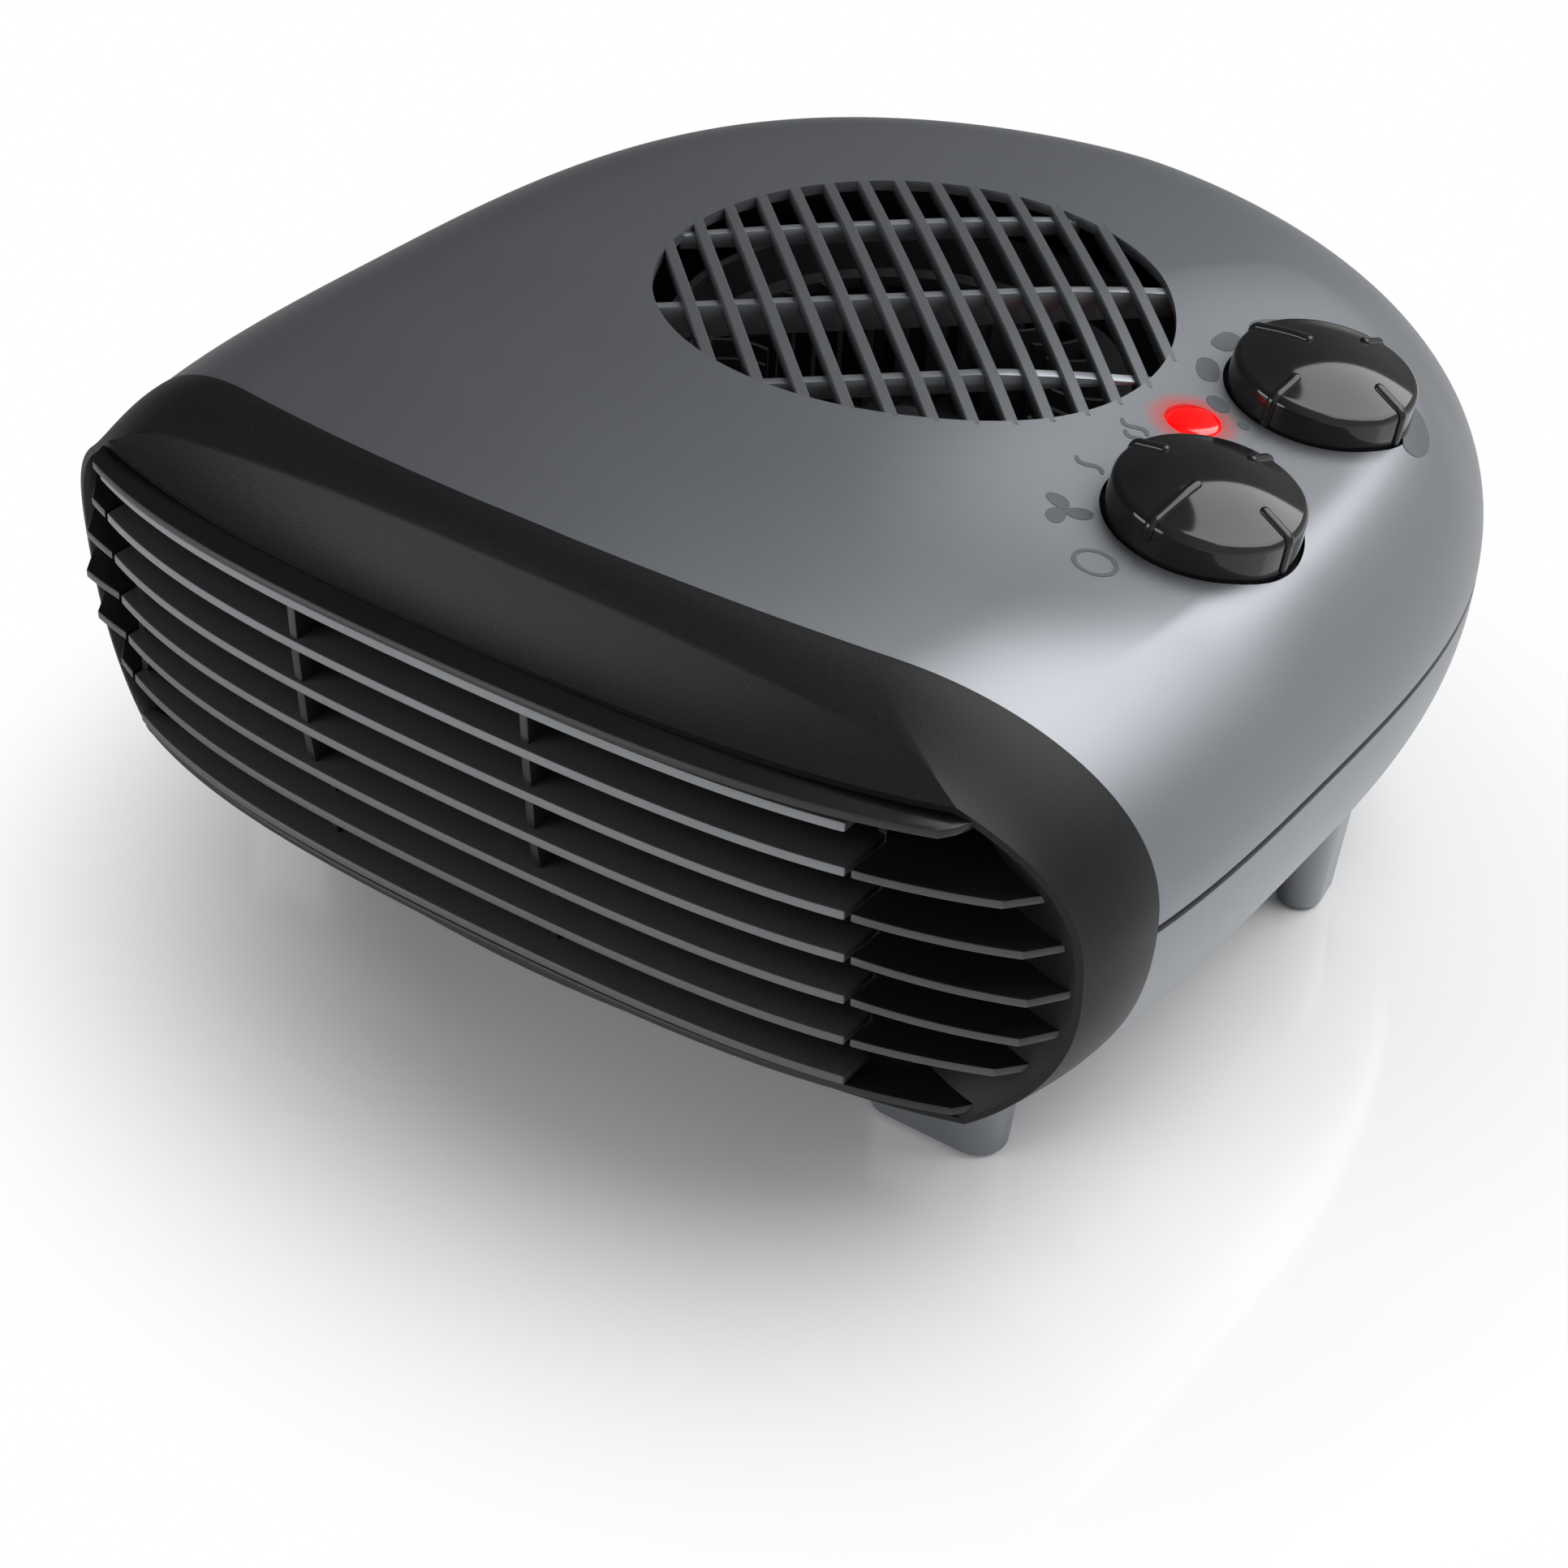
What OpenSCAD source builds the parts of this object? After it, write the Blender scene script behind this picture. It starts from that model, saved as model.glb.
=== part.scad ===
// Flat desktop fan heater. Millimetres, Z up, front is -Y, origin at the centre of the footprint on the floor.
// The housing is two silver shells with a black front bezel; a blower under the round top grille
// pushes air forward through ribbon elements and out between the bowed front slats.

/* [Housing] */
// Widest width of the two shells
body_width = 259.6; // [256:0.4:262]
// Depth over all, from the foremost lip to the back
body_depth = 287.5; // [280:0.5:294]
// Height of the middle of the top face above the floor
top_mid = 121.2; // [120:0.2:122.4]
// How far the top falls away from its middle towards its edge
top_fall = 10; // [9:0.5:11]
// Height of the dark line where the two shells meet
split_height = 70.2; // [69:0.2:71.4]
// Height of the middle of the underside above the floor
under_height = 18; // [17:0.25:19]
// How far the underside rises towards its edge
under_rise = 16; // [14:0.5:17]
// How far the rounding of the upper edge reaches in
top_inset = 48; // [45:0.5:50]
// How far the rounding of the lower edge reaches in
low_inset = 24; // [22:0.5:26]
// Wall thickness of the shells
wall = 2.4; // [2.2:0.1:2.6]
// Height of the dark groove between the shells
groove = 1.8; // [1.4:0.1:2.2]

/* [Front bezel] */
// Distance from the seam's side ends to the foremost lip
front_run = 50.4; // [49:0.2:52]
// How far the seam bows forward in the middle
seam_bow = 25.6; // [24:0.4:27]
// Half width of the mouth at its rim
mouth_half = 123.2; // [122:0.2:123.8]
// Height of the mouth's lower rim
mouth_low = 28.3; // [27.9:0.1:28.9]
// Height of the mouth's upper rim
mouth_high = 103; // [102.7:0.1:103.6]
// Depth of the hollow in the hood
scoop = 1.6; // [0.8:0.1:2]
// Thickness of the side fins
fin_t = 1.9; // [1.6:0.1:2.3]

/* [Outlet grille] */
// Spacing of the slats
slat_pitch = 10.34; // [10.2:0.02:10.4]
// Thickness of each slat
slat_t = 2.1; // [1.7:0.1:2.4]
// Half length of each slat
slat_half = 93.2; // [92.2:0.2:93.4]
// How much further back each lower slat stands
slat_rake = 0.95; // [0.85:0.05:1.05]
// How far a slat's middle bows out past its far ends
slat_bow = 12.1; // [11:0.1:12.6]

/* [Top grille] */
// Diameter of the round opening in the top
inlet_d = 111.3; // [108:0.3:112.2]
// Distance of the opening's centre to the right of the middle
inlet_x = 3.9; // [3:0.1:5]
// Distance of the opening's centre behind the origin
inlet_y = 8.4; // [7:0.2:9.6]
// Number of bars across the opening
bars = 13; // [11:1:13]
// Spacing of the bars
bar_pitch = 8.1; // [7.6:0.1:8.2]
// Width of each bar
bar_w = 2.6; // [2.2:0.1:3]

/* [Controls] */
// Diameter of a knob at its foot
knob_d = 39.4; // [37:0.2:40]
// Height of a knob's straight skirt
knob_skirt = 10; // [9:0.1:10.6]
// Height of the dome on a knob
knob_dome = 4.2; // [3.4:0.1:4.6]
// Outward lean of both knob axes in degrees
knob_lean = 8; // [6:0.5:9]
// Diameter of the control shafts
shaft_d = 6; // [5.6:0.1:6.4]
// Diameter of the red lens
lens_d = 11.5; // [10.5:0.1:12]

/* [Blower and motor] */
// Diameter of the blower wheel
wheel_d = 96; // [90:1:98]
// Height of the blower wheel
wheel_h = 28; // [24:1:29]
// Number of blades
blades = 28; // [20:2:32]
// Diameter of the motor shaft
motor_shaft_d = 4; // [3.6:0.1:4.4]

/* [Heater] */
// Number of folds in each ribbon
folds = 22; // [18:1:26]

/* [Feet] */
// Length of a front foot at its root
foot_len = 36; // [34:0.5:38]
// Thickness of the rubber pads
pad_t = 2; // [1.6:0.1:2.4]

/* [Hidden] */
fit = 0.15;
e = 0.01;
ys = -body_depth / 2 + front_run;
back_y = body_depth / 2;
block_y = inlet_y + 72.25;
wide_y = ys + 61.1;
plan_run = back_y - wide_y;
plan_p = 3.08;
plan_q = 1.77;
half = body_width / 2;
slats = 7;
slat_top = 96.1;
slat_mid = -10.1;
knob_r = knob_d / 2;
well_r = knob_r + 0.8;
knob_a = [half - 38, ys + 69.6, top_mid - 12.1];
knob_b = [half - 43.2, ys + 129, top_mid - 12.1];
lens_at = [half - 56.4, ys + 99.1];
lens_z = top_mid - 6.8;
well_floor = 0.5;
floor_t = 2.2;
screw_at = [[half - 21.8, ys + 14.6], [21.8 - half, ys + 14.6], [64, back_y - 41.1], [-64, back_y - 41.1]];
front_foot = [half - 45.8, ys + 2];
rear_foot = [half - 22.8, ys + 117];
cord_z = 56;
silver = [0.6, 0.61, 0.63];
black = [0.05, 0.05, 0.055];
graphite = [0.13, 0.135, 0.14];
steel = [0.66, 0.67, 0.68];

// Half width of the plan outline at a distance y
function plan_w(y) = max(0, 1 - pow(min(1, abs(y - wide_y) / plan_run), plan_p));
function hw(y) = half * pow(plan_w(y), 1 / plan_q);
// Points and outward directions along the right half of the outline, from the front to the back
steps = 26;
ya = -48;
function plan_y(i) = let (a0 = asin((ys + ya - wide_y) / plan_run))
  wide_y + plan_run * sin(a0 + (90 - a0) * i / steps);
function plan_n(i) = let (y = plan_y(i), u = abs(y - wide_y) / plan_run, x = pow(plan_w(y), 1 - 1 / plan_q),
  s = sign(y - wide_y) * half * plan_p * pow(u, plan_p - 1) / (plan_q * plan_run), d = norm([x, s])) [x / d, s / d];
function plan_pt(i, d) = let (n = plan_n(i), y = plan_y(i))
  i == steps ? [0, back_y - d] : [hw(y) - d * n[0], y - d * n[1]];
function ring_xy(d) = concat([for (i = [0:steps]) plan_pt(i, d)],
  [for (i = [steps - 1:-1:0]) let (p = plan_pt(i, d)) [-p[0], p[1]]]);
// A loop pulled in towards the middle line by the factor f
function ring_in(d, f) = let (r = ring_xy(d), y0 = ring_xy(d)[0][1])
  [for (p = r) let (ty = y0 + (p[1] - y0) * 0.6) [p[0] * f, ty + (p[1] - ty) * f]];
function lift(r, z) = [for (p = r) [p[0], p[1], z]];

// Triangles joining a stack of loops with equal counts, closed by flat caps
module stack(loops) {
  n = len(loops[0]);
  m = len(loops);
  pts = [for (l = loops) for (p = l) p];
  sides = [for (j = [0:m - 2]) for (i = [0:n - 1]) each let (k = (i + 1) % n)
    [[j * n + i, (j + 1) * n + i, (j + 1) * n + k], [j * n + i, (j + 1) * n + k, j * n + k]]];
  polyhedron(pts, concat([[for (i = [0:n - 1]) i]], sides, [[for (i = [n - 1:-1:0]) (m - 1) * n + i]]),
    convexity = 10);
}

// Height and inset of the edge profiles at an angle
function top_d(a, t) = t + top_inset * (1 - pow(cos(a), 2 / 2.2));
function top_h(f) = top_mid - top_fall * f * f;
function top_z(a, t) = split_height + (top_h(1 - top_d(a, 0) / half) - t - split_height) * pow(sin(a), 2 / 2.2);
function low_d(a, t) = t + low_inset * (1 - pow(cos(a), 2 / 2.4));
function low_h(f) = under_height + under_rise * f * f;
function low_z(a, t) = split_height - (split_height - low_h(1 - low_d(a, 0) / half) - t) * pow(sin(a), 2 / 2.4);
// The top is pressed flat round the knobs, onto one plane that leans with them
function ease(u) = let (c = max(0, min(1, u))) c * c * (3 - 2 * c);
function knob_dist(x, y) = let (a = [knob_a[0], knob_a[1]], d = [knob_b[0], knob_b[1]] - a,
  s = max(0, min(1, ([x, y] - a) * d / (d * d)))) norm([x, y] - a - s * d);
function press(x, y, z) = let (r = knob_dist(x, y), g = knob_a[2] + 2.7 - tan(knob_lean) * (x - knob_a[0]) - z)
  g < 0 ? g * (1 - ease((r - 20) / 42)) : 3.4 * (1 - exp(-g / 3.4)) * (1 - ease((r - 18) / 20));
function lift_top(r, z, t) = [for (p = r) [p[0], p[1], z + press(p[0], p[1], z + t)]];
top_f = 1 - top_inset / half;
low_f = 1 - low_inset / half;
inner = [0.93, 0.84, 0.72, 0.58, 0.42, 0.25, 0.08];
module top_body(t, drop = 0) {
  stack(concat(
    drop > 0 ? [lift(ring_xy(t), split_height - drop)] : [],
    [for (a = [0, 12, 24, 36, 48, 58, 67, 75, 82, 90]) lift_top(ring_xy(top_d(a, t)), top_z(a, t), t)],
    [for (f = inner) lift_top(ring_in(t + top_inset, f), top_h(top_f * f) - t, t)]));
}
module low_body(t, rise = 0) {
  stack(concat(
    [for (k = [6:-1:0]) lift(ring_in(t + low_inset, inner[k]), low_h(low_f * inner[k]) + t)],
    [for (a = [90, 80, 70, 60, 49, 37, 25, 12, 0]) lift(ring_xy(low_d(a, t)), low_z(a, t))],
    rise > 0 ? [lift(ring_xy(t), split_height + rise)] : []));
}

// The seam with the bezel bows forward in the middle
function seam(x) = ys - seam_bow * (1 - pow(x / 127, 2));
module behind_seam(gap) {
  translate([0, 0, -1]) linear_extrude(140)
    polygon(concat([for (x = [-135:9:135]) [x, seam(x) + gap]], [[135, back_y + 20], [-135, back_y + 20]]));
}

// Bow of everything across the front, and the mouth's rim
function bow(x) = let (u = x / 100.4) slat_bow * (0.405 * u * u + 0.595 * pow(u, 4));
function rim_y(x, z) = let (u = x / mouth_half) ys - 43.4 + 7.6 * u * u + 12.6 * pow(u, 4) + 0.09 * (103 - z);
sect_n = 80;
// Upper and lower quarter of the section, f runs from 0 at the side to 1 at the middle line
function q_top(f, w, t) = f < 0.6
  ? let (a = 90 * f / 0.6) [w - top_d(a, t) / 0.99, top_z(a, t)]
  : let (g = 1 - (f - 0.6) / 0.4, xe = w - (t + top_inset) / 0.99) [xe * g, top_h(top_f * g) - t];
function q_low(f, w, t) = f < 0.6
  ? let (a = 90 * f / 0.6) [w - low_d(a, t) / 0.99, low_z(a, t)]
  : let (g = 1 - (f - 0.6) / 0.4, xe = w - (t + low_inset) / 0.99) [xe * g, low_h(low_f * g) + t];
function quarter(i) = let (q = floor(i / (sect_n / 4)), r = i / (sect_n / 4) - q) [q, q % 2 == 0 ? r : 1 - r];
function sec_try(i, w, t) = let (q = quarter(i), p = q[0] < 2 ? q_top(q[1], w, t) : q_low(q[1], w, t))
  [(q[0] == 0 || q[0] == 3 ? 1 : -1) * p[0], p[1]];
function sec_w(i, t) = let (x0 = sec_try(i, hw(ys), t)[0], x1 = sec_try(i, hw(seam(x0)), t)[0]) hw(seam(x1));
function sec_pt(i, t, gap) = let (p = sec_try(i, sec_w(i, t), t)) [p[0], seam(p[0]) - gap, p[1]];
// The rim is rounded at the sides and cut off nearly straight above and below, pulled in by t
rim_c = 67;
rim_x = 101;
function rim_pt(i, t) = let (q = quarter(i), up = q[0] < 2, ww = mouth_half - t,
  b1 = acos(pow(rim_x / mouth_half, 1.25)), b = b1 * min(1, q[1] / 0.6),
  x = q[1] < 0.6 ? ww * pow(cos(b), 0.8) : ww * rim_x / mouth_half * (1 - (q[1] - 0.6) / 0.4),
  hh = (up ? (mouth_high + 1.5 - rim_c) / 0.687 : 59.8) - t, h = hh * pow(sin(b), 0.8),
  z = up ? min(rim_c + h, mouth_high + 1.5 * pow(x / rim_x, 2) - t) : max(rim_c - h, mouth_low + t),
  sx = q[0] == 0 || q[0] == 3 ? x : -x)
  [sx, rim_y(x, z), z];
// Opening behind the mouth, a squarer box that sits off centre with the grille
function open_pt(i) = let (a = rim_pt(i, 0), u = a[0] / mouth_half, v = (a[2] - rim_c) / 38,
  r = pow(pow(abs(u), 7) + pow(abs(v), 7), -1 / 7))
  [slat_mid + (slat_half + 2.5) * u * r, ys - 5 - 11 * (1 - pow(u * r, 2)), 66 + (v > 0 ? 38.5 : 35) * v * r];
// Share of the scoop at a place on the rim
function scoop_w(p) = p[2] < 98 ? 0 : pow(max(0, 1 - pow(abs(p[0]) / 101, 3)), 0.7);
// Skin between the seam and the rim, s from 0 to 1
function skin(i, s, t) = let (a = sec_pt(i, t, 0.2), b = rim_pt(i, t * 0.9), w = scoop_w(rim_pt(i, 0)),
  tr = w > 0 ? 0.84 - 0.34 * w : 0.6, u = s < 0.5 ? s * 2 * tr : tr + (s - 0.5) * 2 * (1 - tr),
  k = pow(u, 2), kr = pow(tr, 2), g = (u - tr) / (1 - tr), kl = kr + (1 - kr) * g,
  zc = a[2] + (b[2] - a[2]) * k, zl = a[2] + (b[2] - a[2]) * kl - scoop * 4 * g * (1 - g))
  [a[0] + (b[0] - a[0]) * k, a[1] + (b[1] + t * 0.5 - a[1]) * u, u > tr ? zc * (1 - w) + zl * w : zc];
function dish(i, s) = let (a = rim_pt(i, 1.4), b = open_pt(i))
  [a[0] + (b[0] - a[0]) * s, a[1] + (b[1] - a[1]) * pow(s, 1.5), a[2] + (b[2] - a[2]) * s];

// The back of the dish wall, moved outwards and back
function dish_back(i, s) = let (p = dish(i, s), u = (p[0] - slat_mid) / 96, v = (p[2] - 66) / 36)
  [p[0] + 1.5 * sign(u) * min(1, pow(u / 0.85, 4)), p[1] + wall, p[2] + 1.5 * sign(v) * min(1, pow(v / 0.7, 4))];

module bezel_ring() {
  loops = concat([for (s = [0, 0.2, 0.36, 0.5, 0.62, 0.75, 0.88, 1]) [for (i = [0:sect_n - 1]) skin(i, s, 0)]],
    [for (s = [0, 0.35, 0.7, 1]) [for (i = [0:sect_n - 1]) dish(i, s)]],
    [for (s = [1, 0.7, 0.35]) [for (i = [0:sect_n - 1]) dish_back(i, s)]],
    [for (s = [0.5, 0]) [for (i = [0:sect_n - 1]) skin(i, s, wall)]]);
  n = sect_n;
  m = len(loops);
  pts = [for (l = loops) for (p = l) p];
  polyhedron(pts, [for (j = [0:m - 1]) for (i = [0:n - 1]) each let (k = (i + 1) % n, j2 = (j + 1) % m)
    [[j * n + i, j2 * n + i, j2 * n + k], [j * n + i, j2 * n + k, j * n + k]]], convexity = 12);
}
// The space in front of the dish, which trims the fins
module mouth_space() {
  stack([for (s = [1, 0.7, 0.35, 0, -1]) [for (i = [0:sect_n - 1])
    let (p = s > 0 ? (dish(i, s) + dish_back(i, s)) / 2 : rim_pt(i, 0.8) + [0, 1, 0])
    [p[0], s == 1 ? ys - 3.2 : s < 0 ? ys - 60 : p[1], p[2]]]]);
}
// Chamfer start and tip of each fin, from the top lip down
fin_x1 = [100.6, 110.3, 114.5, 116.2, 115, 110.1, 102.8];
fin_y1 = [-37.5, -29.6, -27.9, -27.6, -26.6, -25.6, -27];
fin_x2 = [104.3, 116.2, 120.2, 122.1, 120.3, 114.9, 108.1];
fin_y2 = [-33.2, -22.3, -20.2, -19, -18.7, -19.7, -20];
// One fin from a start beside the slats out to its chamfered tip
module fin(k, x0) {
  y0 = slat_y(k);
  dy = ys + fin_y1[k] - y0 - bow(fin_x1[k]);
  translate([0, 0, slat_top - slat_pitch * k - fin_t / 2]) linear_extrude(fin_t)
    polygon(concat([for (f = [0:0.25:1]) let (x = x0 + (fin_x1[k] - x0) * f) [x, y0 + bow(x) + dy * f]],
      [[fin_x2[k], ys + fin_y2[k]], [fin_x2[k] + 4, ys + fin_y2[k] + 3], [118, ys], [x0, ys]]));
}
// Long blade above or below the slats; the upper one has a web that joins it to the hood
module lip(k, y0, z, deep, side, web) {
  x1 = fin_x1[k];
  f = (ys + fin_y1[k] - y0) / bow(x1);
  translate([0, 0, z - fin_t / 2]) linear_extrude(fin_t)
    polygon(concat([for (u = [-1:0.0625:1]) [u * x1, y0 + f * bow(u * x1)]], [for (p = side) [p[0], ys + p[1]]],
      [for (u = [1:-0.125:-1]) [u * 88, y0 + deep + f * bow(u * 88)]],
      [for (i = [3:-1:0]) [-side[i][0], ys + side[i][1]]]));
  if (web > 0) translate([0, 0, web]) linear_extrude(2.5)
    polygon(concat([for (u = [-1:0.125:1]) [u * 95, y0 + deep - 4.5 + f * bow(u * 95)]],
      [for (u = [1:-0.125:-1]) [u * 90, y0 + deep - 0.6 + f * bow(u * 90)]]));
}
function slat_y(k) = ys - front_run + 3.8 + slat_rake * k;

module front_bezel() {
  color(black) {
    bezel_ring();
    intersection() {
      mouth_space();
      union() {
        for (k = [1:5]) {
          fin(k, slat_mid + slat_half + 1.1);
          mirror([1, 0, 0]) fin(k, slat_half - slat_mid + 1.1);
        }
        lip(6, ys - front_run + 9.4, 32, 12.5, [[108.1, -20], [113, -16], [112, -9], [92, -8]], 0);
      }
    }
    lip(0, ys - front_run, 101.2, 13, [[104.3, -33.2], [108, -28], [109, -14], [92, -10]], 101);
  }
}

module slat(k) {
  y0 = slat_y(k);
  translate([0, 0, slat_top - slat_pitch * k - slat_t / 2]) linear_extrude(slat_t)
    polygon(concat([for (u = [-1:0.0625:1]) let (x = slat_mid + u * slat_half) [x, y0 + bow(x)]],
      [[slat_mid + slat_half, ys - 25], [slat_mid - slat_half, ys - 25]]));
}
rib_x = [-42.5, 14.5];
slat_low = slat_top - 6 * slat_pitch;
module outlet_grille() {
  color(graphite) {
    for (k = [0:slats - 1]) slat(k);
    for (x = rib_x) translate([x - 1, 0, slat_top - 4 * slat_pitch - 2.4])
      rotate([90, 0, 90]) linear_extrude(2)
        polygon([[ys - 34, 0], [ys - 40, 1], [ys - 44.2, 43], [ys - 29, 43], [ys - 29, 0]]);
    for (x = rib_x) translate([x - 0.9, ys - 34.5, slat_low - 0.5]) cube([1.8, 9, 6 * slat_pitch + 1]);
    for (x = [-slat_half - 0.3, slat_half - 1.5]) let (y0 = x < 0 ? -31.5 : -35)
      translate([slat_mid + x, ys, 0]) rotate([90, 0, 90]) linear_extrude(1.8)
        polygon([[y0, slat_low - 0.5], [-21, slat_low - 0.5], [-17, slat_low + 6], [-2, slat_low + 6],
          [-2, slat_top - 1.6], [-11.5, slat_top - 1.6], [-13.5, slat_top + 0.5], [y0, slat_top + 0.5]]);
    difference() {
      translate([slat_mid - slat_half - 4, ys - 2.5, 30.6]) cube([2 * slat_half + 8, 2, 76]);
      // the window, with its lower corners cut off along the plate's own corners
      translate([slat_mid, ys, slat_low]) rotate([90, 0, 0]) linear_extrude(3)
        let (w = slat_half - 1.6, c = 6.5) polygon([[c - w, 0], [w - c, 0], [w, c],
          [w, 6 * slat_pitch], [-w, 6 * slat_pitch], [-w, c]]);
      for (x = [-1, 1]) for (z = [30.6, 106.6]) translate([slat_mid + x * (slat_half + 4), ys - 3, z])
        rotate([0, 45, 0]) translate([-9, 0, -9]) cube([18, 3, 18]);
    }
  }
}

// Places things in the leaning frame of a knob
module at_knob(p) translate(p) rotate([0, knob_lean, 0]) children();
module well_cup(p) at_knob(p) translate([0, 0, -well_floor - floor_t]) cylinder(h = 30, r = well_r + 2.2, $fn = 72);
module well_cut(p) at_knob(p) {
  translate([0, 0, -well_floor]) cylinder(h = 30, r = well_r, $fn = 72);
  translate([0, 0, -10]) cylinder(h = 20, r = 5.2, $fn = 48);
}
module bar_field() {
  translate([inlet_x, inlet_y, 0]) rotate([0, 0, -45]) for (k = [0:bars - 1])
    translate([-70, (k - (bars - 1) / 2) * bar_pitch - bar_w / 2, top_mid - 21.2])
      cube([140, bar_w, 40]);
}
module cross_ribs() {
  for (r = [[-35, 4], [0, 7.2], [35, 4]]) intersection() {
    translate([inlet_x, inlet_y, top_mid - 2.2 - r[1]]) rotate([0, 0, 45])
      translate([-60, r[0] - 1.2, 0]) cube([120, 2.4, r[1]]);
    translate([inlet_x, inlet_y, top_mid - 31]) cylinder(h = 40, d = inlet_d + 3, $fn = 96);
  }
}
module bosses_up() {
  for (p = screw_at) translate([p[0], p[1], split_height + 0.1]) difference() {
    cylinder(h = top_mid - split_height, d = 9, $fn = 40);
    translate([0, 0, -1]) cylinder(h = 18, d = 3.1, $fn = 32);
  }
}
module upper_shell() {
  color(silver) {
    difference() {
      intersection() {
        union() {
          difference() {
            top_body(0);
            top_body(wall, 5);
          }
          intersection() {
            top_body(0.6);
            union() {
              well_cup(knob_a);
              well_cup(knob_b);
              bosses_up();
              translate([lens_at[0], lens_at[1], lens_z - 6.4]) cylinder(h = 20, d = lens_d + 6, $fn = 48);
            }
          }
        }
        behind_seam(0);
      }
      translate([0, 0, split_height - 10]) linear_extrude(10 + groove / 2) square(400, center = true);
      difference() {
        translate([inlet_x, inlet_y, top_mid - 21.2]) cylinder(h = 40, d = inlet_d, $fn = 120);
        bar_field();
      }
      well_cut(knob_a);
      well_cut(knob_b);
      translate([lens_at[0], lens_at[1], lens_z - 14.4]) cylinder(h = 40, d = lens_d + 2 * fit, $fn = 64);
      translate([lens_at[0], lens_at[1], lens_z - 14.4]) cylinder(h = 12.4, d = lens_d + 3.4, $fn = 64);
    }
    intersection() {
      cross_ribs();
      top_body(1.4);
    }
  }
}

// A tapered oblong foot standing on the floor side of the shell
module foot_body(l, w, h) {
  for (s = [-1, 1]) translate([s * (l - w) / 2, 0, 0]) cylinder(h = h, r1 = w / 2 - 2.5, r2 = w / 2, $fn = 48);
  rotate([90, 0, 90]) translate([0, 0, -(l - w) / 2]) linear_extrude(l - w)
    polygon([[-w / 2 + 2.5, 0], [w / 2 - 2.5, 0], [w / 2, h], [-w / 2, h]]);
}
module feet() {
  for (s = [-1, 1]) {
    translate([s * front_foot[0], front_foot[1], 0.6]) foot_body(foot_len, 18, under_height + 14);
    translate([s * rear_foot[0], rear_foot[1], 0.6]) rotate([0, 0, s * -82]) foot_body(22, 15, under_height + 24);
  }
}
pad_spots = [[front_foot[0] - 8, front_foot[1]], [front_foot[0] + 8, front_foot[1]], rear_foot];
module pads(d, h) {
  for (s = [-1, 1]) for (p = pad_spots) translate([s * p[0], p[1], 0]) cylinder(h = h, d = d, $fn = 48);
}
module lower_shell() {
  color(silver) {
    difference() {
      union() {
        intersection() {
          union() {
            difference() {
              low_body(0);
              low_body(wall, 5);
            }
            intersection() {
              low_body(0.6);
              union() {
                for (p = screw_at) translate([p[0], p[1], 0]) cylinder(h = split_height, d = 12, $fn = 48);
                translate([0, back_y - 16, cord_z]) rotate([-90, 0, 0]) cylinder(h = 30, d = 18, $fn = 48);
                for (x = [-12, 12]) translate([x, back_y - 34, 0]) cylinder(h = cord_z - 7, d = 8, $fn = 40);
                for (s = [-1, 1]) translate([30 * s, block_y, 0]) cylinder(h = 30, d = 6, $fn = 32);
              }
            }
          }
          behind_seam(0);
          translate([-200, -200, 0]) cube([400, 400, split_height - groove / 2]);
        }
        difference() {
          feet();
          low_body(1);
        }
        // tongue behind the groove
        intersection() {
          translate([0, 0, split_height - 5]) linear_extrude(7) difference() {
            polygon(ring_xy(wall + 0.4));
            polygon(ring_xy(wall + 1.9));
          }
          behind_seam(1);
        }
        intersection() {
          translate([0, 0, split_height - 5]) linear_extrude(4) difference() {
            polygon(ring_xy(wall - 0.4));
            polygon(ring_xy(wall + 1.9));
          }
          behind_seam(1);
        }
      }
      for (p = screw_at) translate([p[0], p[1], 0]) {
        translate([0, 0, -1]) cylinder(h = split_height - 9, d = 8.6, $fn = 48);
        cylinder(h = 100, d = 3.6, $fn = 32);
      }
      pads(9.4, pad_t);
      translate([0, back_y - 30, cord_z]) rotate([-90, 0, 0]) cylinder(h = 40, d = 11.2, $fn = 48);
      for (x = [-12, 12]) translate([x, back_y - 34, cord_z - 20]) cylinder(h = 20, d = 3.1, $fn = 32);
      for (s = [-1, 1]) for (k = [0:5]) translate([s * (half - 41.8), ys + 112 + 6.4 * k, 10])
        translate([-5, -1.1, 0]) cube([10, 2.2, 22]);
      for (k = [0:4]) translate([-20, inlet_y - 15.2 + 7 * k, 10]) cube([40, 2.4, 13]);
      for (s = [-1, 1]) mirror([s < 0 ? 1 : 0, 0, 0]) translate([half - 28.8, ys + 138, 10]) kidney();
    }
  }
}
module kidney() linear_extrude(26) difference() {
  circle(d = 14, $fn = 48);
  circle(d = 7, $fn = 32);
  translate([-20, -20]) square([20, 40]);
}

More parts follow.
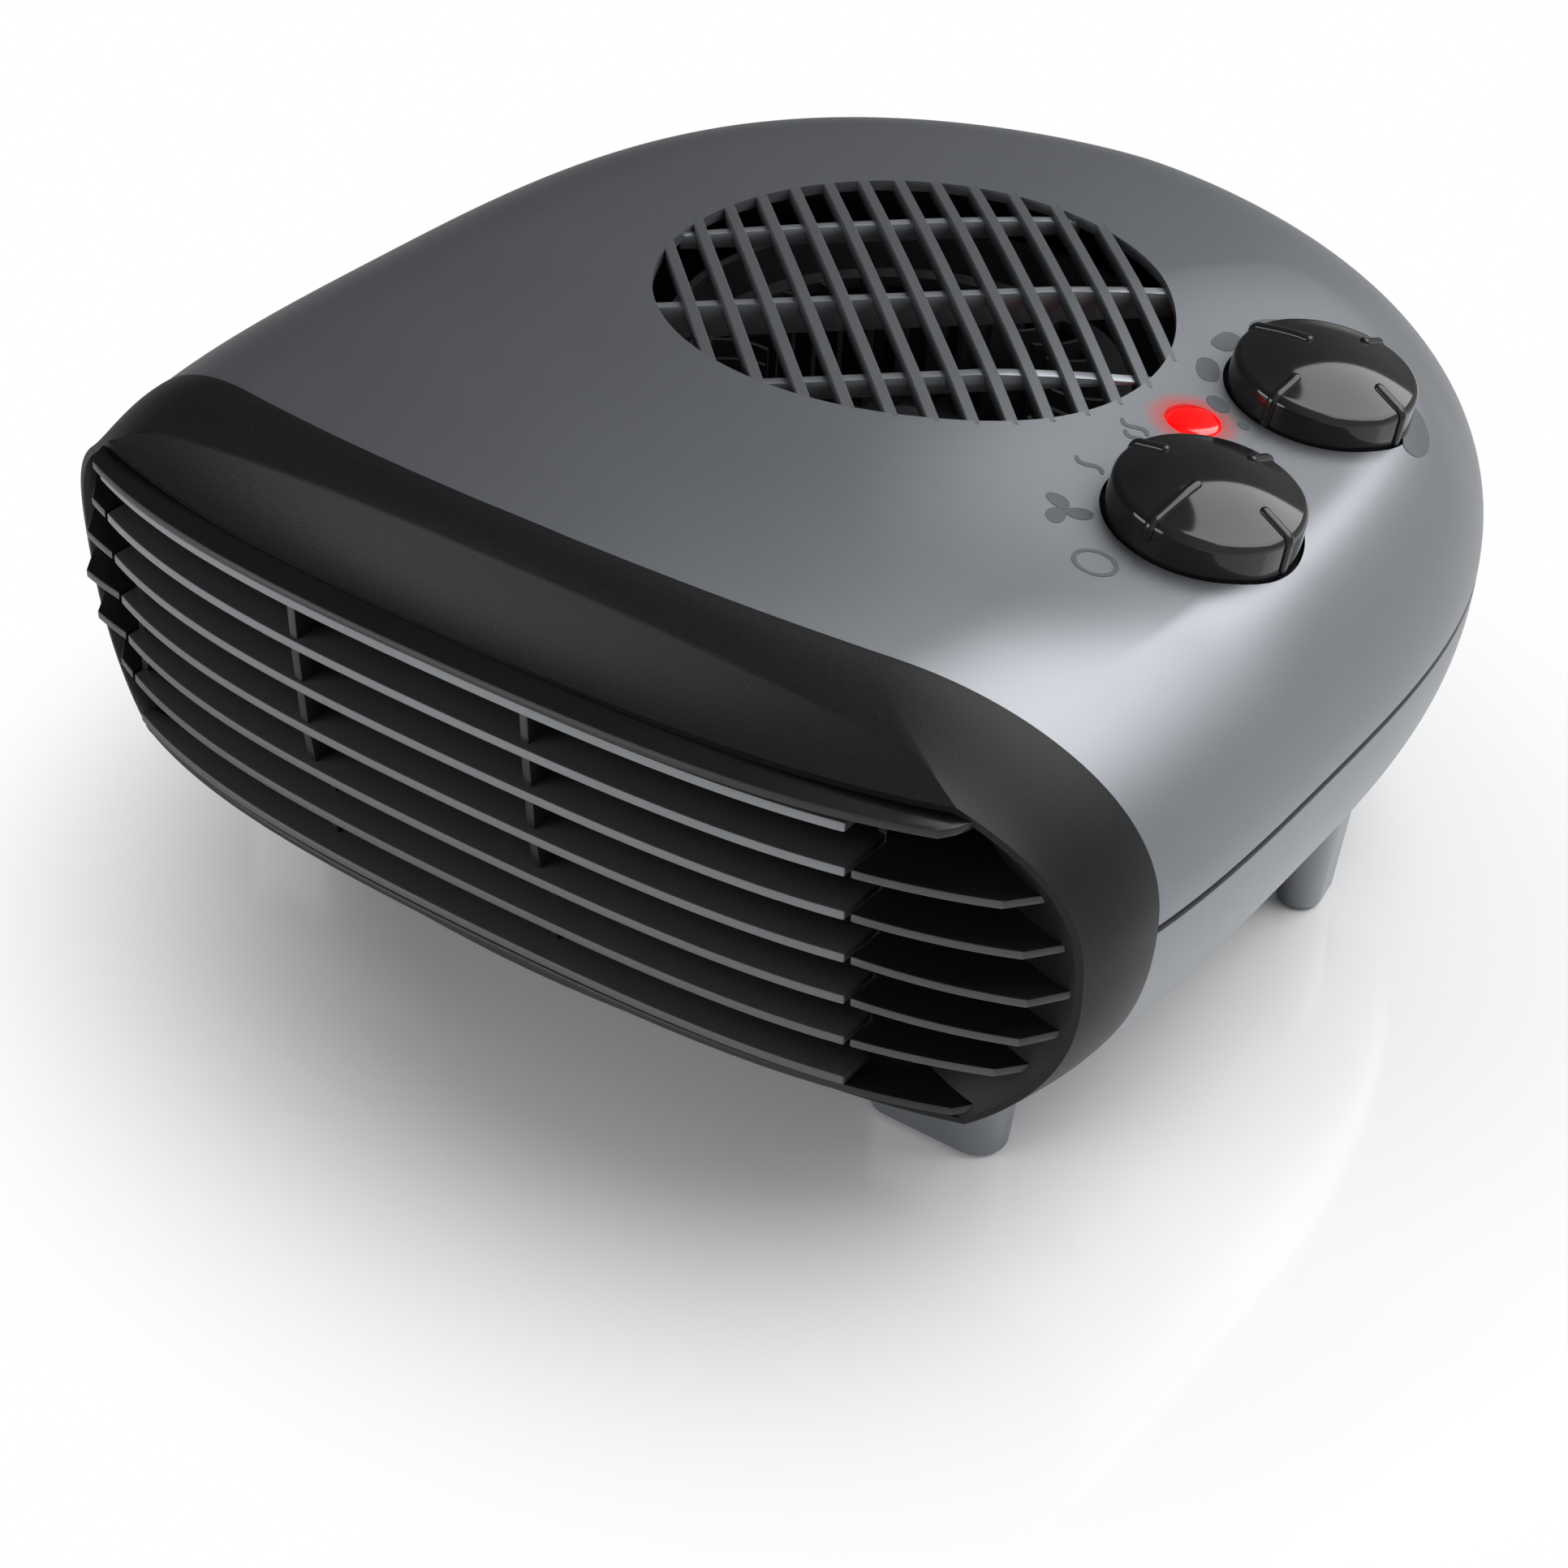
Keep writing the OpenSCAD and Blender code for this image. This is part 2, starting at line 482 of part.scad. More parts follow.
// Outside of a knob from its foot to the middle of its dome
function dome_h(r) = knob_skirt + knob_dome * (1 - pow(r / (knob_r - 2), 2));
knob_line = concat([[knob_r - 0.35, 0], [knob_r, 0.35], [knob_r - 0.05, 4], [knob_r - 0.2, knob_skirt - 2.4]],
  [for (a = [13:13:78]) [knob_r - 2.25 + 2.05 * cos(a), knob_skirt - 1.65 + 2.05 * sin(a)]],
  [for (r = [knob_r - 3.2, 14.5, 12.5, 10.5, 8.5, 6.5, 4.5, 2.5]) [r, dome_h(r) + 0.12 * pow(r / knob_r, 6)]]);
module knob(long) {
  difference() {
    union() {
      rotate_extrude($fn = 96) polygon(concat([[0, 0]], knob_line, [[0, dome_h(0)]]));
      for (k = [0:3]) rotate([0, 0, k * 90 - 8]) knob_ridge(k == long ? 5 : 11.3);
    }
    translate([0, 0, -e]) cylinder(h = 7, r = knob_r - 3, $fn = 72);
  }
  difference() {
    cylinder(h = 8, r = 5, $fn = 48);
    translate([0, 0, -e]) cylinder(h = 7, d = shaft_d + 0.1, $fn = 48);
  }
}
// A slim raised ridge over the edge of the dome and down the skirt
module knob_ridge(r0) {
  line = [for (p = knob_line) if (p[0] > r0 + 0.8 && p[1] > 2) p];
  m = len(line) - 1;
  rotate([90, 0, 0]) translate([0, 0, -0.9]) linear_extrude(1.8)
    polygon(concat([for (p = line) let (k = p[1] > knob_skirt ? [0.1, 0.75] : [0.75, 0.1]) p + k],
      [[r0, dome_h(r0)]], [for (k = [m:-1:0]) line[k] - [1, 1]]));
}
module mode_knob() color([0.02, 0.02, 0.02]) at_knob(knob_a) knob(3);
module thermostat_knob() color([0.02, 0.02, 0.02]) at_knob(knob_b) knob(2);

seat = well_floor + floor_t;
module control_shaft() {
  difference() {
    translate([0, 0, -seat - 8]) cylinder(h = 8 + seat + 6.6, d = shaft_d, $fn = 48);
    translate([shaft_d / 2 - 1, -5, 0.5]) cube([5, 10, 10]);
  }
  translate([0, 0, -seat - 12.4]) cylinder(h = 4.5, r = 5, $fn = 48);
}
module mode_shaft() color(steel) at_knob(knob_a) control_shaft();
module thermostat_shaft() color(steel) at_knob(knob_b) control_shaft();
module socket(l, w, h) {
  difference() {
    union() {
      translate([-l / 2, -w / 2, -seat - h]) cube([l, w, h - 0.05]);
      translate([0, 0, -seat - 1]) cylinder(h = 1 + floor_t - 0.3, r = 5, $fn = 48);
    }
    translate([0, 0, -seat - 12.7]) cylinder(h = 5.2, r = 5.3, $fn = 48);
    translate([0, 0, -seat - 9]) cylinder(h = 20, d = shaft_d + 0.1, $fn = 48);
  }
}
module tabs(l, h, n) for (k = [0:n - 1])
  translate([-l / 2 + 4 + k * (l - 11) / (n - 1), -3, -seat - h - 7]) cube([0.8, 6, 7.2]);
module mode_switch() {
  color([0.85, 0.84, 0.8]) at_knob(knob_a) socket(26, 26, 20);
  color([0.8, 0.65, 0.3]) at_knob(knob_a) tabs(26, 20, 4);
}
module thermostat() {
  color([0.75, 0.72, 0.66]) at_knob(knob_b) socket(28, 22, 15);
  color([0.8, 0.65, 0.3]) at_knob(knob_b) {
    translate([-13, -8, -seat - 17]) cube([22, 5, 0.8]);
    translate([-13, -8, -seat - 17]) cube([3, 5, 2.2]);
    translate([-13, 4, -seat - 17]) cube([24, 4, 0.8]);
    translate([8, 4, -seat - 17]) cube([3, 4, 2.2]);
  }
}

module lamp_lens() color([0.9, 0.02, 0.02]) translate([lens_at[0], lens_at[1], lens_z]) {
  intersection() {
    translate([0, 0, -6]) cylinder(h = 10, d = lens_d, $fn = 64);
    translate([0, 0, 0.7 - 26]) sphere(r = 26, $fn = 96);
  }
  translate([0, 0, -6]) cylinder(h = 3.8, d = lens_d + 2.8, $fn = 64);
}
module lamp_holder() color([0.9, 0.9, 0.88]) translate([lens_at[0], lens_at[1], lens_z - 24.4]) {
  difference() {
    cylinder(h = 18.2, d = 9, $fn = 48);
    translate([0, 0, 4]) cylinder(h = 20, d = 6.2, $fn = 40);
  }
  translate([0, 0, 3.9]) cylinder(h = 9, d = 5, $fn = 40);
  translate([0, 0, 12.9]) sphere(d = 5, $fn = 40);
  for (x = [-1.5, 1.5]) translate([x, 0, -10]) cylinder(h = 10.1, d = 0.9, $fn = 16);
}

// Blower wheel: hub, back plate, curved blades and a front ring
wheel_z = 73.5;
module blade() {
  difference() {
    intersection() {
      translate([0, 0, wheel_z + 1]) cylinder(h = wheel_h - 1.2, d = wheel_d - 1, $fn = 96);
      translate([wheel_d / 2 - 9, 9, wheel_z]) difference() {
        cylinder(h = wheel_h, r = 13.6, $fn = 48);
        translate([0, 0, -1]) cylinder(h = wheel_h + 2, r = 12.6, $fn = 48);
        translate([-30, -2, -1]) cube([60, 60, wheel_h + 2]);
      }
    }
    translate([0, 0, wheel_z - 1]) cylinder(h = wheel_h + 3, d = wheel_d - 34, $fn = 72);
  }
}
module blower_wheel() color([0.14, 0.14, 0.15]) translate([inlet_x, inlet_y, 0]) {
  difference() {
    union() {
      translate([0, 0, wheel_z]) cylinder(h = 1.8, d = wheel_d, $fn = 120);
      translate([0, 0, wheel_z]) cylinder(h = 15, d = 14, $fn = 48);
      translate([0, 0, wheel_z + 1.7]) cylinder(h = 9, r1 = 20, r2 = 9, $fn = 72);
      translate([0, 0, wheel_z + wheel_h - 2.4]) difference() {
        cylinder(h = 2.4, d = wheel_d, $fn = 120);
        translate([0, 0, -1]) cylinder(h = 5, d = wheel_d - 9, $fn = 120);
      }
      for (k = [0:blades - 1]) rotate([0, 0, k * 360 / blades]) blade();
    }
    translate([0, 0, wheel_z - 1]) cylinder(h = 30, d = motor_shaft_d, $fn = 40);
  }
}
module motor_shaft() color(steel) translate([inlet_x, inlet_y, 27])
  cylinder(h = wheel_z + 12 - 27, d = motor_shaft_d, $fn = 40);
module motor_rotor() color([0.5, 0.5, 0.5]) translate([inlet_x, inlet_y, 0]) difference() {
  union() {
    translate([0, 0, 38]) cylinder(h = 16, d = 25, $fn = 72);
    for (z = [36.4, 53.9]) translate([0, 0, z]) cylinder(h = 1.7, d = 21, $fn = 72);
    for (k = [0:11]) rotate([0, 0, k * 30]) translate([8.6, -0.6, 36.6]) cube([1.7, 1.2, 18.8]);
  }
  translate([0, 0, 30]) cylinder(h = 40, d = motor_shaft_d, $fn = 40);
}
module motor_stator() color([0.42, 0.42, 0.44]) translate([inlet_x, inlet_y, 0]) difference() {
  union() {
    translate([-29, -19, 38]) cube([58, 38, 16]);
    translate([-29, 18.9, 38]) cube([12, 27, 16]);
    translate([17, 18.9, 38]) cube([12, 27, 16]);
    translate([-29, 35, 38]) cube([58, 11, 16]);
  }
  translate([0, 0, 30]) cylinder(h = 40, d = 26, $fn = 96);
  for (x = [-24, 24]) translate([x, 0, 30]) cylinder(h = 40, d = 3.2, $fn = 32);
  for (a = [45, 225]) rotate([0, 0, a]) translate([12, -1.4, 30]) cube([5.5, 2.8, 40]);
}
module motor_coil() translate([inlet_x, inlet_y, 0]) {
  color([0.9, 0.9, 0.85]) difference() {
    translate([-15.4, 29, 31]) cube([30.8, 23, 30]);
    translate([-20, 34.8, 37.8]) cube([40, 11.4, 16.4]);
    translate([-13.6, 20, 20]) cube([27.2, 50, 50]);
  }
  color([0.72, 0.4, 0.2]) difference() {
    translate([-13.5, 30.2, 32.4]) cube([27, 20.6, 27.2]);
    translate([-20, 34.8, 37.8]) cube([40, 11.4, 16.4]);
  }
}
module bracket(z, dir) translate([inlet_x, inlet_y, z]) {
  difference() {
    union() {
      translate([-30, -7, 0]) cube([60, 14, 1.6]);
      cylinder(h = 1.6, r = 11, $fn = 60);
      translate([0, 0, dir > 0 ? -2.2 : 0]) cylinder(h = 3.8, r = 6, $fn = 48);
    }
    translate([0, 0, -10]) cylinder(h = 20, r = 4.05, $fn = 48);
    for (x = [-24, 24]) translate([x, 0, -5]) cylinder(h = 10, d = 3.2, $fn = 32);
  }
  for (x = [-24, 24]) difference() {
    translate([x, 0, dir > 0 ? -4.4 : 1.5]) cylinder(h = 4.5, d = 6.5, $fn = 40);
    translate([x, 0, -10]) cylinder(h = 20, d = 3.2, $fn = 32);
  }
}
module upper_bracket() color(steel) bracket(58.4, 1);
module lower_bracket() color(steel) bracket(32, -1);
module motor_bushes() color([0.7, 0.55, 0.28]) translate([inlet_x, inlet_y, 0]) for (z = [31, 56]) difference() {
  intersection() {
    translate([0, 0, z]) cylinder(h = 5, r = 4, $fn = 48);
    translate([0, 0, z + 2.5]) sphere(r = 4.6, $fn = 64);
  }
  translate([0, 0, z - 1]) cylinder(h = 8, d = motor_shaft_d + 0.08, $fn = 40);
}
module motor_screws() color(steel) translate([inlet_x, inlet_y, 0]) for (x = [-24, 24]) translate([x, 0, 0]) {
  translate([0, 0, 32]) cylinder(h = 34, d = 3, $fn = 32);
  difference() {
    translate([0, 0, 29.6]) cylinder(h = 2.4, d = 5.6, $fn = 36);
    translate([-0.5, -4, 29.5]) cube([1, 8, 0.9]);
  }
}

// Spiral wall round the wheel, opening to the front
function spiral(a, o) = let (r = 51 + 11 * (215 - a) / 240 + o) [inlet_x + r * cos(a), inlet_y + r * sin(a)];
scroll_z = 66;
wall_top = 107.4;
duct_l = slat_mid - 86;
duct_r = slat_mid + 86;
module scroll_line(o) polygon(concat([for (a = [215:-8:-25]) spiral(a, 0)], [for (a = [-25:8:215]) spiral(a, 2)]));
module scroll_floor() polygon(concat([for (a = [207:-8:-25]) spiral(a, 1)],
  [[duct_r + 1, ys + 33.6], [duct_l - 0.4, ys + 33.75], spiral(215, 0) + [-0.6, 0.9]]));
module strip(a, b, w) {
  d = norm(b - a);
  translate(a) rotate([0, 0, atan2(b[1] - a[1], b[0] - a[0])]) square([d, w]);
}
module blower_scroll() color([0.2, 0.2, 0.21]) {
  difference() {
    translate([0, 0, scroll_z]) linear_extrude(2) difference() {
      scroll_floor();
      translate([inlet_x, inlet_y]) circle(d = 22, $fn = 60);
    }
    for (x = [-24, 24]) translate([inlet_x + x, inlet_y, 50]) cylinder(h = 30, d = 3.1, $fn = 32);
  }
  translate([0, 0, scroll_z + 0.8]) linear_extrude(wall_top - scroll_z - 0.8) {
    scroll_line();
    strip(spiral(-25, 0), [duct_r, ys + 33], 2);
    strip([duct_l, ys + 33], spiral(215, 0), 2);
  }
  for (x = [-24, 24]) translate([inlet_x + x, inlet_y, 60.1]) difference() {
    cylinder(h = 6, d = 8, $fn = 40);
    translate([0, 0, -1]) cylinder(h = 9, d = 3.1, $fn = 32);
  }
}
duct_y0 = ys + 1;
duct_y1 = ys + 32.8;
// Everything in the outlet duct stands on this level, in line with the grille
module in_duct() translate([slat_mid, 0, 32.5]) children();
module air_duct() color([0.62, 0.63, 0.64]) {
  in_duct() difference() {
    union() {
      translate([-88, duct_y0, 0]) cube([176, duct_y1 - duct_y0, 1]);
      for (x = [-88, 87]) translate([x, duct_y0, 0]) cube([1, duct_y1 - duct_y0, 70]);
      translate([-88, duct_y0, 69]) cube([176, duct_y1 - duct_y0, 1]);
      translate([-88, duct_y1 - 1, 0]) cube([176, 1, 34]);
    }
    for (x = [-40, 40]) translate([x, duct_y1 - 4, 12]) rotate([-90, 0, 0]) cylinder(h = 10, d = 6, $fn = 32);
  }
  for (x = [-62, 62]) for (y = [duct_y0 + 8, duct_y1 - 8]) translate([x, y, 24.5]) cylinder(h = 8.1, d = 7, $fn = 40);
}

// Mica frame with folded ribbons between cross boards
heat_y0 = ys + 5;
heat_y1 = ys + 28;
rows_z = [15.6, 35.5, 55.4];
module heater_frame() color([0.72, 0.63, 0.45]) in_duct() {
  for (x = [-85.4, 84.4]) translate([x, heat_y0, 1.2]) cube([1, heat_y1 - heat_y0, 67.6]);
  for (z = [2.2, 25.2, 45.1, 67.6]) translate([-86.6, heat_y0, z]) cube([173.2, heat_y1 - heat_y0, 0.8]);
  for (z = [1.7, 68.3]) translate([-60, heat_y0, z]) cube([120, 3, 0.6]);
  for (x = [-42, 0, 42]) for (y = [heat_y0 + 0.2, heat_y1 - 1.2]) translate([x - 2, y, 2]) cube([4, 0.8, 66]);
}
module ribbon(y, h, z) {
  w = 164 / folds;
  translate([0, y + 3, z]) rotate([90, 0, 0]) linear_extrude(6)
    polygon(concat([for (k = [0:folds]) [-82 + k * w, (k % 2 == 0 ? -1 : 1) * h / 2 - 0.9]],
      [for (k = [folds:-1:0]) [-82 + k * w, (k % 2 == 0 ? -1 : 1) * h / 2 + 0.9]]));
}
module ribbon_set(y) in_duct() {
  color([0.55, 0.5, 0.46]) for (z = rows_z) ribbon(y, 15.6, z);
  color([0.72, 0.72, 0.7]) for (z = rows_z) for (s = [-1, 1])
    translate([s * 82.8 - 1.6, y - 2.5, z - 9]) cube([3.2, 5, 2.4]);
}
module front_ribbons() ribbon_set(heat_y0 + 7);
module rear_ribbons() ribbon_set(heat_y1 - 7);
module thermal_cutout() in_duct() translate([22, heat_y1 + 0.1, 35.5]) {
  color([0.12, 0.12, 0.12]) rotate([-90, 0, 0]) cylinder(h = 3, d = 15, $fn = 60);
  color(steel) translate([-6, 0, -11]) cube([12, 0.6, 22]);
  color([0.8, 0.65, 0.3]) for (x = [-4, 3.2]) translate([x, 2.9, -1]) cube([0.8, 1.3, 9]);
}
module thermal_fuse() in_duct() translate([-21, heat_y1 + 1.7, 25.6]) {
  color([0.85, 0.82, 0.7]) rotate([0, 90, 0]) cylinder(h = 12, d = 3.2, center = true, $fn = 40);
  color(steel) rotate([0, 90, 0]) cylinder(h = 34, d = 0.9, center = true, $fn = 20);
  color(steel) for (x = [-16.5, 14.5]) translate([x, -1.6, -1.5]) cube([2, 2.4, 3]);
}
module terminal_block() translate([0, block_y, 30]) {
  color([0.9, 0.9, 0.86]) difference() {
    translate([-34, -8, 0.05]) cube([68, 16, 13]);
    for (k = [-2:2]) translate([k * 10.5, 0, 5]) rotate([90, 0, 0]) cylinder(h = 30, d = 4, center = true, $fn = 32);
    for (k = [-2:2]) for (y = [-4, 4]) translate([k * 10.5, y, 6]) cylinder(h = 20, d = 4.2, $fn = 32);
    for (x = [-30, 30]) translate([x, 0, -1]) cylinder(h = 20, d = 3.2, $fn = 32);
  }
  color([0.8, 0.65, 0.3]) for (k = [-2:2]) for (y = [-4, 4])
    translate([k * 10.5, y, 1.5]) cylinder(h = 8.4, d = 4, $fn = 32);
}
// Bush in the back wall that the supply lead passes through
module cord_bush() color(black) translate([0, back_y - 22, cord_z]) rotate([-90, 0, 0]) difference() {
  union() {
    cylinder(h = 20.4, d = 11, $fn = 48);
    translate([0, 0, 0]) cylinder(h = 5.9, d = 15, $fn = 48);
  }
  translate([0, 0, -1]) cylinder(h = 30, d = 7.2, $fn = 48);
}
module cord_clamp() color([0.1, 0.1, 0.1]) translate([0, back_y - 34, cord_z - 7]) difference() {
  translate([-17, -5, 0.05]) cube([34, 10, 5]);
  translate([0, -6, 7]) rotate([-90, 0, 0]) cylinder(h = 12, d = 7.4, $fn = 48);
  for (x = [-12, 12]) translate([x, 0, -1]) cylinder(h = 10, d = 3.4, $fn = 32);
}
module clamp_screws() color(steel) for (x = [-12, 12]) translate([x, back_y - 34, 0]) {
  translate([0, 0, cord_z - 17]) cylinder(h = 15.1, d = 3, $fn = 32);
  difference() {
    translate([0, 0, cord_z - 1.9]) cylinder(h = 2, d = 5.4, $fn = 36);
    translate([-4, -0.5, cord_z - 0.7]) cube([8, 1, 2]);
  }
}
module shell_screws() color(steel) for (p = screw_at) translate([p[0], p[1], 0]) {
  translate([0, 0, split_height - 10.4]) cylinder(h = 24.4, d = 3, $fn = 32);
  difference() {
    translate([0, 0, split_height - 12.6]) cylinder(h = 2.55, d = 7.2, $fn = 40);
    translate([-0.6, -2.4, split_height - 13]) cube([1.2, 4.8, 1.8]);
    translate([-2.4, -0.6, split_height - 13]) cube([4.8, 1.2, 1.8]);
  }
}
module foot_pads() color([0.08, 0.08, 0.08]) pads(9, pad_t - 0.05);

upper_shell();
lower_shell();
front_bezel();
outlet_grille();
mode_knob();
thermostat_knob();
mode_switch();
mode_shaft();
thermostat();
thermostat_shaft();
lamp_lens();
lamp_holder();
blower_wheel();
motor_shaft();
motor_rotor();
motor_stator();
motor_coil();
upper_bracket();
lower_bracket();
motor_bushes();
motor_screws();
blower_scroll();
air_duct();
heater_frame();
front_ribbons();
rear_ribbons();
thermal_cutout();
thermal_fuse();
terminal_block();
cord_bush();
cord_clamp();
clamp_screws();
shell_screws();
foot_pads();
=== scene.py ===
"""Looks of a flat desktop fan heater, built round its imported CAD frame. Metres, Z up, front is -Y."""

import functools

import bmesh
import bpy
import numpy as np
from bpy.props import FloatProperty, FloatVectorProperty, IntProperty, PointerProperty
from mathutils import Matrix


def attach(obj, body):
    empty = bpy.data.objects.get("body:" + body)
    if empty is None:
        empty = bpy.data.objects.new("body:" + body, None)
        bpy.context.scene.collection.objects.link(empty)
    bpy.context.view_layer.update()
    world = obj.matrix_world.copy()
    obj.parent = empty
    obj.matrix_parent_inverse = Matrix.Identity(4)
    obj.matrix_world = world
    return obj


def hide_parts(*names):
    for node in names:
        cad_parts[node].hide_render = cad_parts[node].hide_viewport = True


bl_info = {
    "name": "Fan heater looks",
    "version": (1, 0, 0),
    "blender": (4, 5, 0),
    "location": "View3D > Sidebar > Heater",
    "description": "Shells, bezel, slats, grille, knobs, marks and stage of a flat desktop fan heater",
    "category": "Object",
}

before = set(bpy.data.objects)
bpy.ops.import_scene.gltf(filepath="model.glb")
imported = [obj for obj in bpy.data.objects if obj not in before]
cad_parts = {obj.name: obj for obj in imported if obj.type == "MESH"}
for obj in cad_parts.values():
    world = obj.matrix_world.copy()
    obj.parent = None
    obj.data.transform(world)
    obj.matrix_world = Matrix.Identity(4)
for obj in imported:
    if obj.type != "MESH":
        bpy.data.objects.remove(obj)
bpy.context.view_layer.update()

MM = 0.001

# All lengths below are in millimetres. The seam's side ends lie at SEAM_Y.
SEAM_Y = -93.35
BACK_Y = 143.75

# Outline from above: half width, its widest place, and the superellipse's powers and run
HALF = 129.8
WIDE_Y = SEAM_Y + 61.1
PLAN_RUN = BACK_Y - WIDE_Y
PLAN_P = 3.08
PLAN_Q = 1.77

# Heights and rounded edges of the shells, their wall and the groove between them
TOP_MID = 121.2
TOP_FALL = 10.0
TOP_INSET = 48.0
TOP_POWER = 2 / 2.2
SPLIT = 70.2
UNDER = 18.0
UNDER_RISE = 16.0
LOW_INSET = 24.0
LOW_POWER = 2 / 2.4
WALL = 2.4
GROOVE = 1.8

# Steps of the bodies that only cut or trim: along half the outline, up the edge and inwards; and how far
# such a body goes on past the groove
COARSE = (60, 22, 16)
MEDIUM = (90, 30, 20)
OVERLAP = 5.0

# The visible skin lies this far inside the CAD's, and a lathed profile ends this far off its axis
SKIN = 0.04
AXIS = 0.0001

# Seam between shells and bezel: its bow, and the half width that the bow is measured on
SEAM_BOW = 25.6
SEAM_HALF = 127.0

# Mouth: half width, lower and upper rim, the rim's middle height, and where its straight parts end
MOUTH_HALF = 123.2
MOUTH_LOW = 28.3
MOUTH_HIGH = 103.0
MOUTH_MID = 66.0
RIM_C = 67.0
RIM_X = 101.0
RIM_RISE = 1.5
RIM_DEEP = 59.8

# Bow of the rim from the middle to the sides, its lean back towards the top, the power of the opening's
# shape, and the hood: from which height on it is hollow, and how deep
RIM_FRONT = SEAM_Y - 43.4
RIM_SQUARE, RIM_FOURTH = 7.6, 12.6
RIM_LEAN = 0.09
BACK_POWER = 7
HOOD_LOW = 98.0
SCOOP = 1.6

# Share of a quarter of the section that its rounded edge takes, and the normal's x part at the seam
EDGE = 0.6
NORMAL_X = 0.99

# Slats from the top down, each SLAT_RAKE further back, and the bow that they share with fins and lips
SLATS = 7
SLAT_TOP = 96.1
SLAT_PITCH = 10.34
SLAT_MID = -10.1
SLAT_HALF = 93.2
SLAT_T = 2.1
SLAT_RAKE = 0.95
SLAT_BOW = 12.1
BOW_HALF = 100.4
BOW_SQUARE, BOW_FOURTH = 0.405, 0.595
FRONT_RUN = 50.4
FIN_T = 1.9

# Round opening in the top
INLET = np.array([3.9, 8.4])
INLET_D = 111.3

# Knobs with their wells and ridges, and the plane that the top is pressed to round them
KNOB_A = np.array([91.8, SEAM_Y + 69.6, 109.1])
KNOB_B = np.array([86.6, SEAM_Y + 129.0, 109.1])
KNOB_R = 19.7
KNOB_SKIRT = 10.0
KNOB_DOME = 4.2
KNOB_LEAN = 8.0
RIDGE_HALF = 1.15
RIDGE_HIGH = 0.77
WELL_R = KNOB_R + 0.8
PRESS_RISE = 2.7
PRESS_SOFT = 3.4

# Pilot lamp
LENS_AT = np.array([73.4, SEAM_Y + 99.1, TOP_MID - 6.8])
LENS_D = 11.5

# Underside and back: screws, feet and their pads, lead inlet, side slots, vents and pockets
SCREWS = [(108, SEAM_Y + 14.6), (-108, SEAM_Y + 14.6), (64, SEAM_Y + 196), (-64, SEAM_Y + 196)]
FRONT_FOOT = (84.0, SEAM_Y + 2.0)
REAR_FOOT = (107.0, SEAM_Y + 117.0)
PADS = ((76.0, FRONT_FOOT[1]), (92.0, FRONT_FOOT[1]), REAR_FOOT)
CORD_Z = 56.0
SLOTS, SLOT_PITCH, SLOT_HALF = 6, 6.4, 1.1
SLOT_X, SLOT_FROM = 88, SEAM_Y + 112.0
VENTS, VENT_PITCH, VENT_WIDTH = 5, 7.0, 2.4
VENT_FROM = INLET[1] - 15.2
POCKET = np.array([101.0, SEAM_Y + 138.0])


def rad(a):
    return np.radians(a)


def unit(a):
    """Points of the unit circle at the angles a."""
    return np.stack([np.cos(a), np.sin(a)], axis=-1)


def circle(n):
    """n angles that go once round."""
    return np.arange(n) * 2 * np.pi / n


def cpow(v, p):
    """A power of the positive part, so a value just under zero gives zero."""
    return np.maximum(v, 0.0) ** p


# Outline and edge profiles of the two shells


def plan_w(y):
    """What is left of the width at y: one minus the distance from the widest place to a power."""
    return np.maximum(0.0, 1.0 - cpow(np.minimum(1.0, np.abs(y - WIDE_Y) / PLAN_RUN), PLAN_P))


def half_width(y):
    """Half width of the outline at y, a superellipse with its own power on each side."""
    return HALF * plan_w(y) ** (1.0 / PLAN_Q)


def outline(n, d):
    """Right half of the outline from front to back in n steps, moved inwards by d along its normal."""
    a0 = np.arcsin((SEAM_Y - 48.0 - WIDE_Y) / PLAN_RUN)
    a = a0 + (np.pi / 2 - a0) * np.linspace(0.0, 1.0, n + 1)
    y = WIDE_Y + PLAN_RUN * np.sin(a)
    w = plan_w(y)
    u = np.abs(y - WIDE_Y) / PLAN_RUN
    nx = w ** (1.0 - 1.0 / PLAN_Q)
    ny = np.sign(y - WIDE_Y) * HALF * PLAN_P * cpow(u, PLAN_P - 1.0) / (PLAN_Q * PLAN_RUN)
    length = np.hypot(nx, ny)
    p = np.stack([half_width(y) - d * nx / length, y - d * ny / length], axis=-1)
    p[-1] = (0.0, BACK_Y - d)
    return p


def ring(d, n):
    """The whole outline moved inwards by d: right half front to back, then left half back to front."""
    right = outline(n, d)
    left = right[-2::-1] * (-1.0, 1.0)
    return np.concatenate([right, left])


def ring_in(d, f, n):
    """A ring drawn in towards the middle line: x shrinks by f, and y towards a point 0.6 along."""
    r = ring(d, n)
    mid = r[0, 1] + (r[:, 1] - r[0, 1]) * 0.6
    return np.stack([r[:, 0] * f, mid + (r[:, 1] - mid) * f], axis=-1)


def lift(r, z):
    """Flat points at one height."""
    return np.column_stack([r, np.full(len(r), z)])


def top_d(a, t):
    """Inset of the upper edge's rounding at angle a."""
    return t + TOP_INSET * (1.0 - cpow(np.cos(a), TOP_POWER))


def top_h(f):
    """Height of the top face at the share f of the half width: it falls off with the square."""
    return TOP_MID - TOP_FALL * f * f


def top_z(a, t):
    """Height on the upper edge's rounding at angle a."""
    crown = top_h(1.0 - top_d(a, 0.0) / HALF) - t
    return SPLIT + (crown - SPLIT) * cpow(np.sin(a), TOP_POWER)


def low_d(a, t):
    """Inset of the lower edge's rounding at angle a."""
    return t + LOW_INSET * (1.0 - cpow(np.cos(a), LOW_POWER))


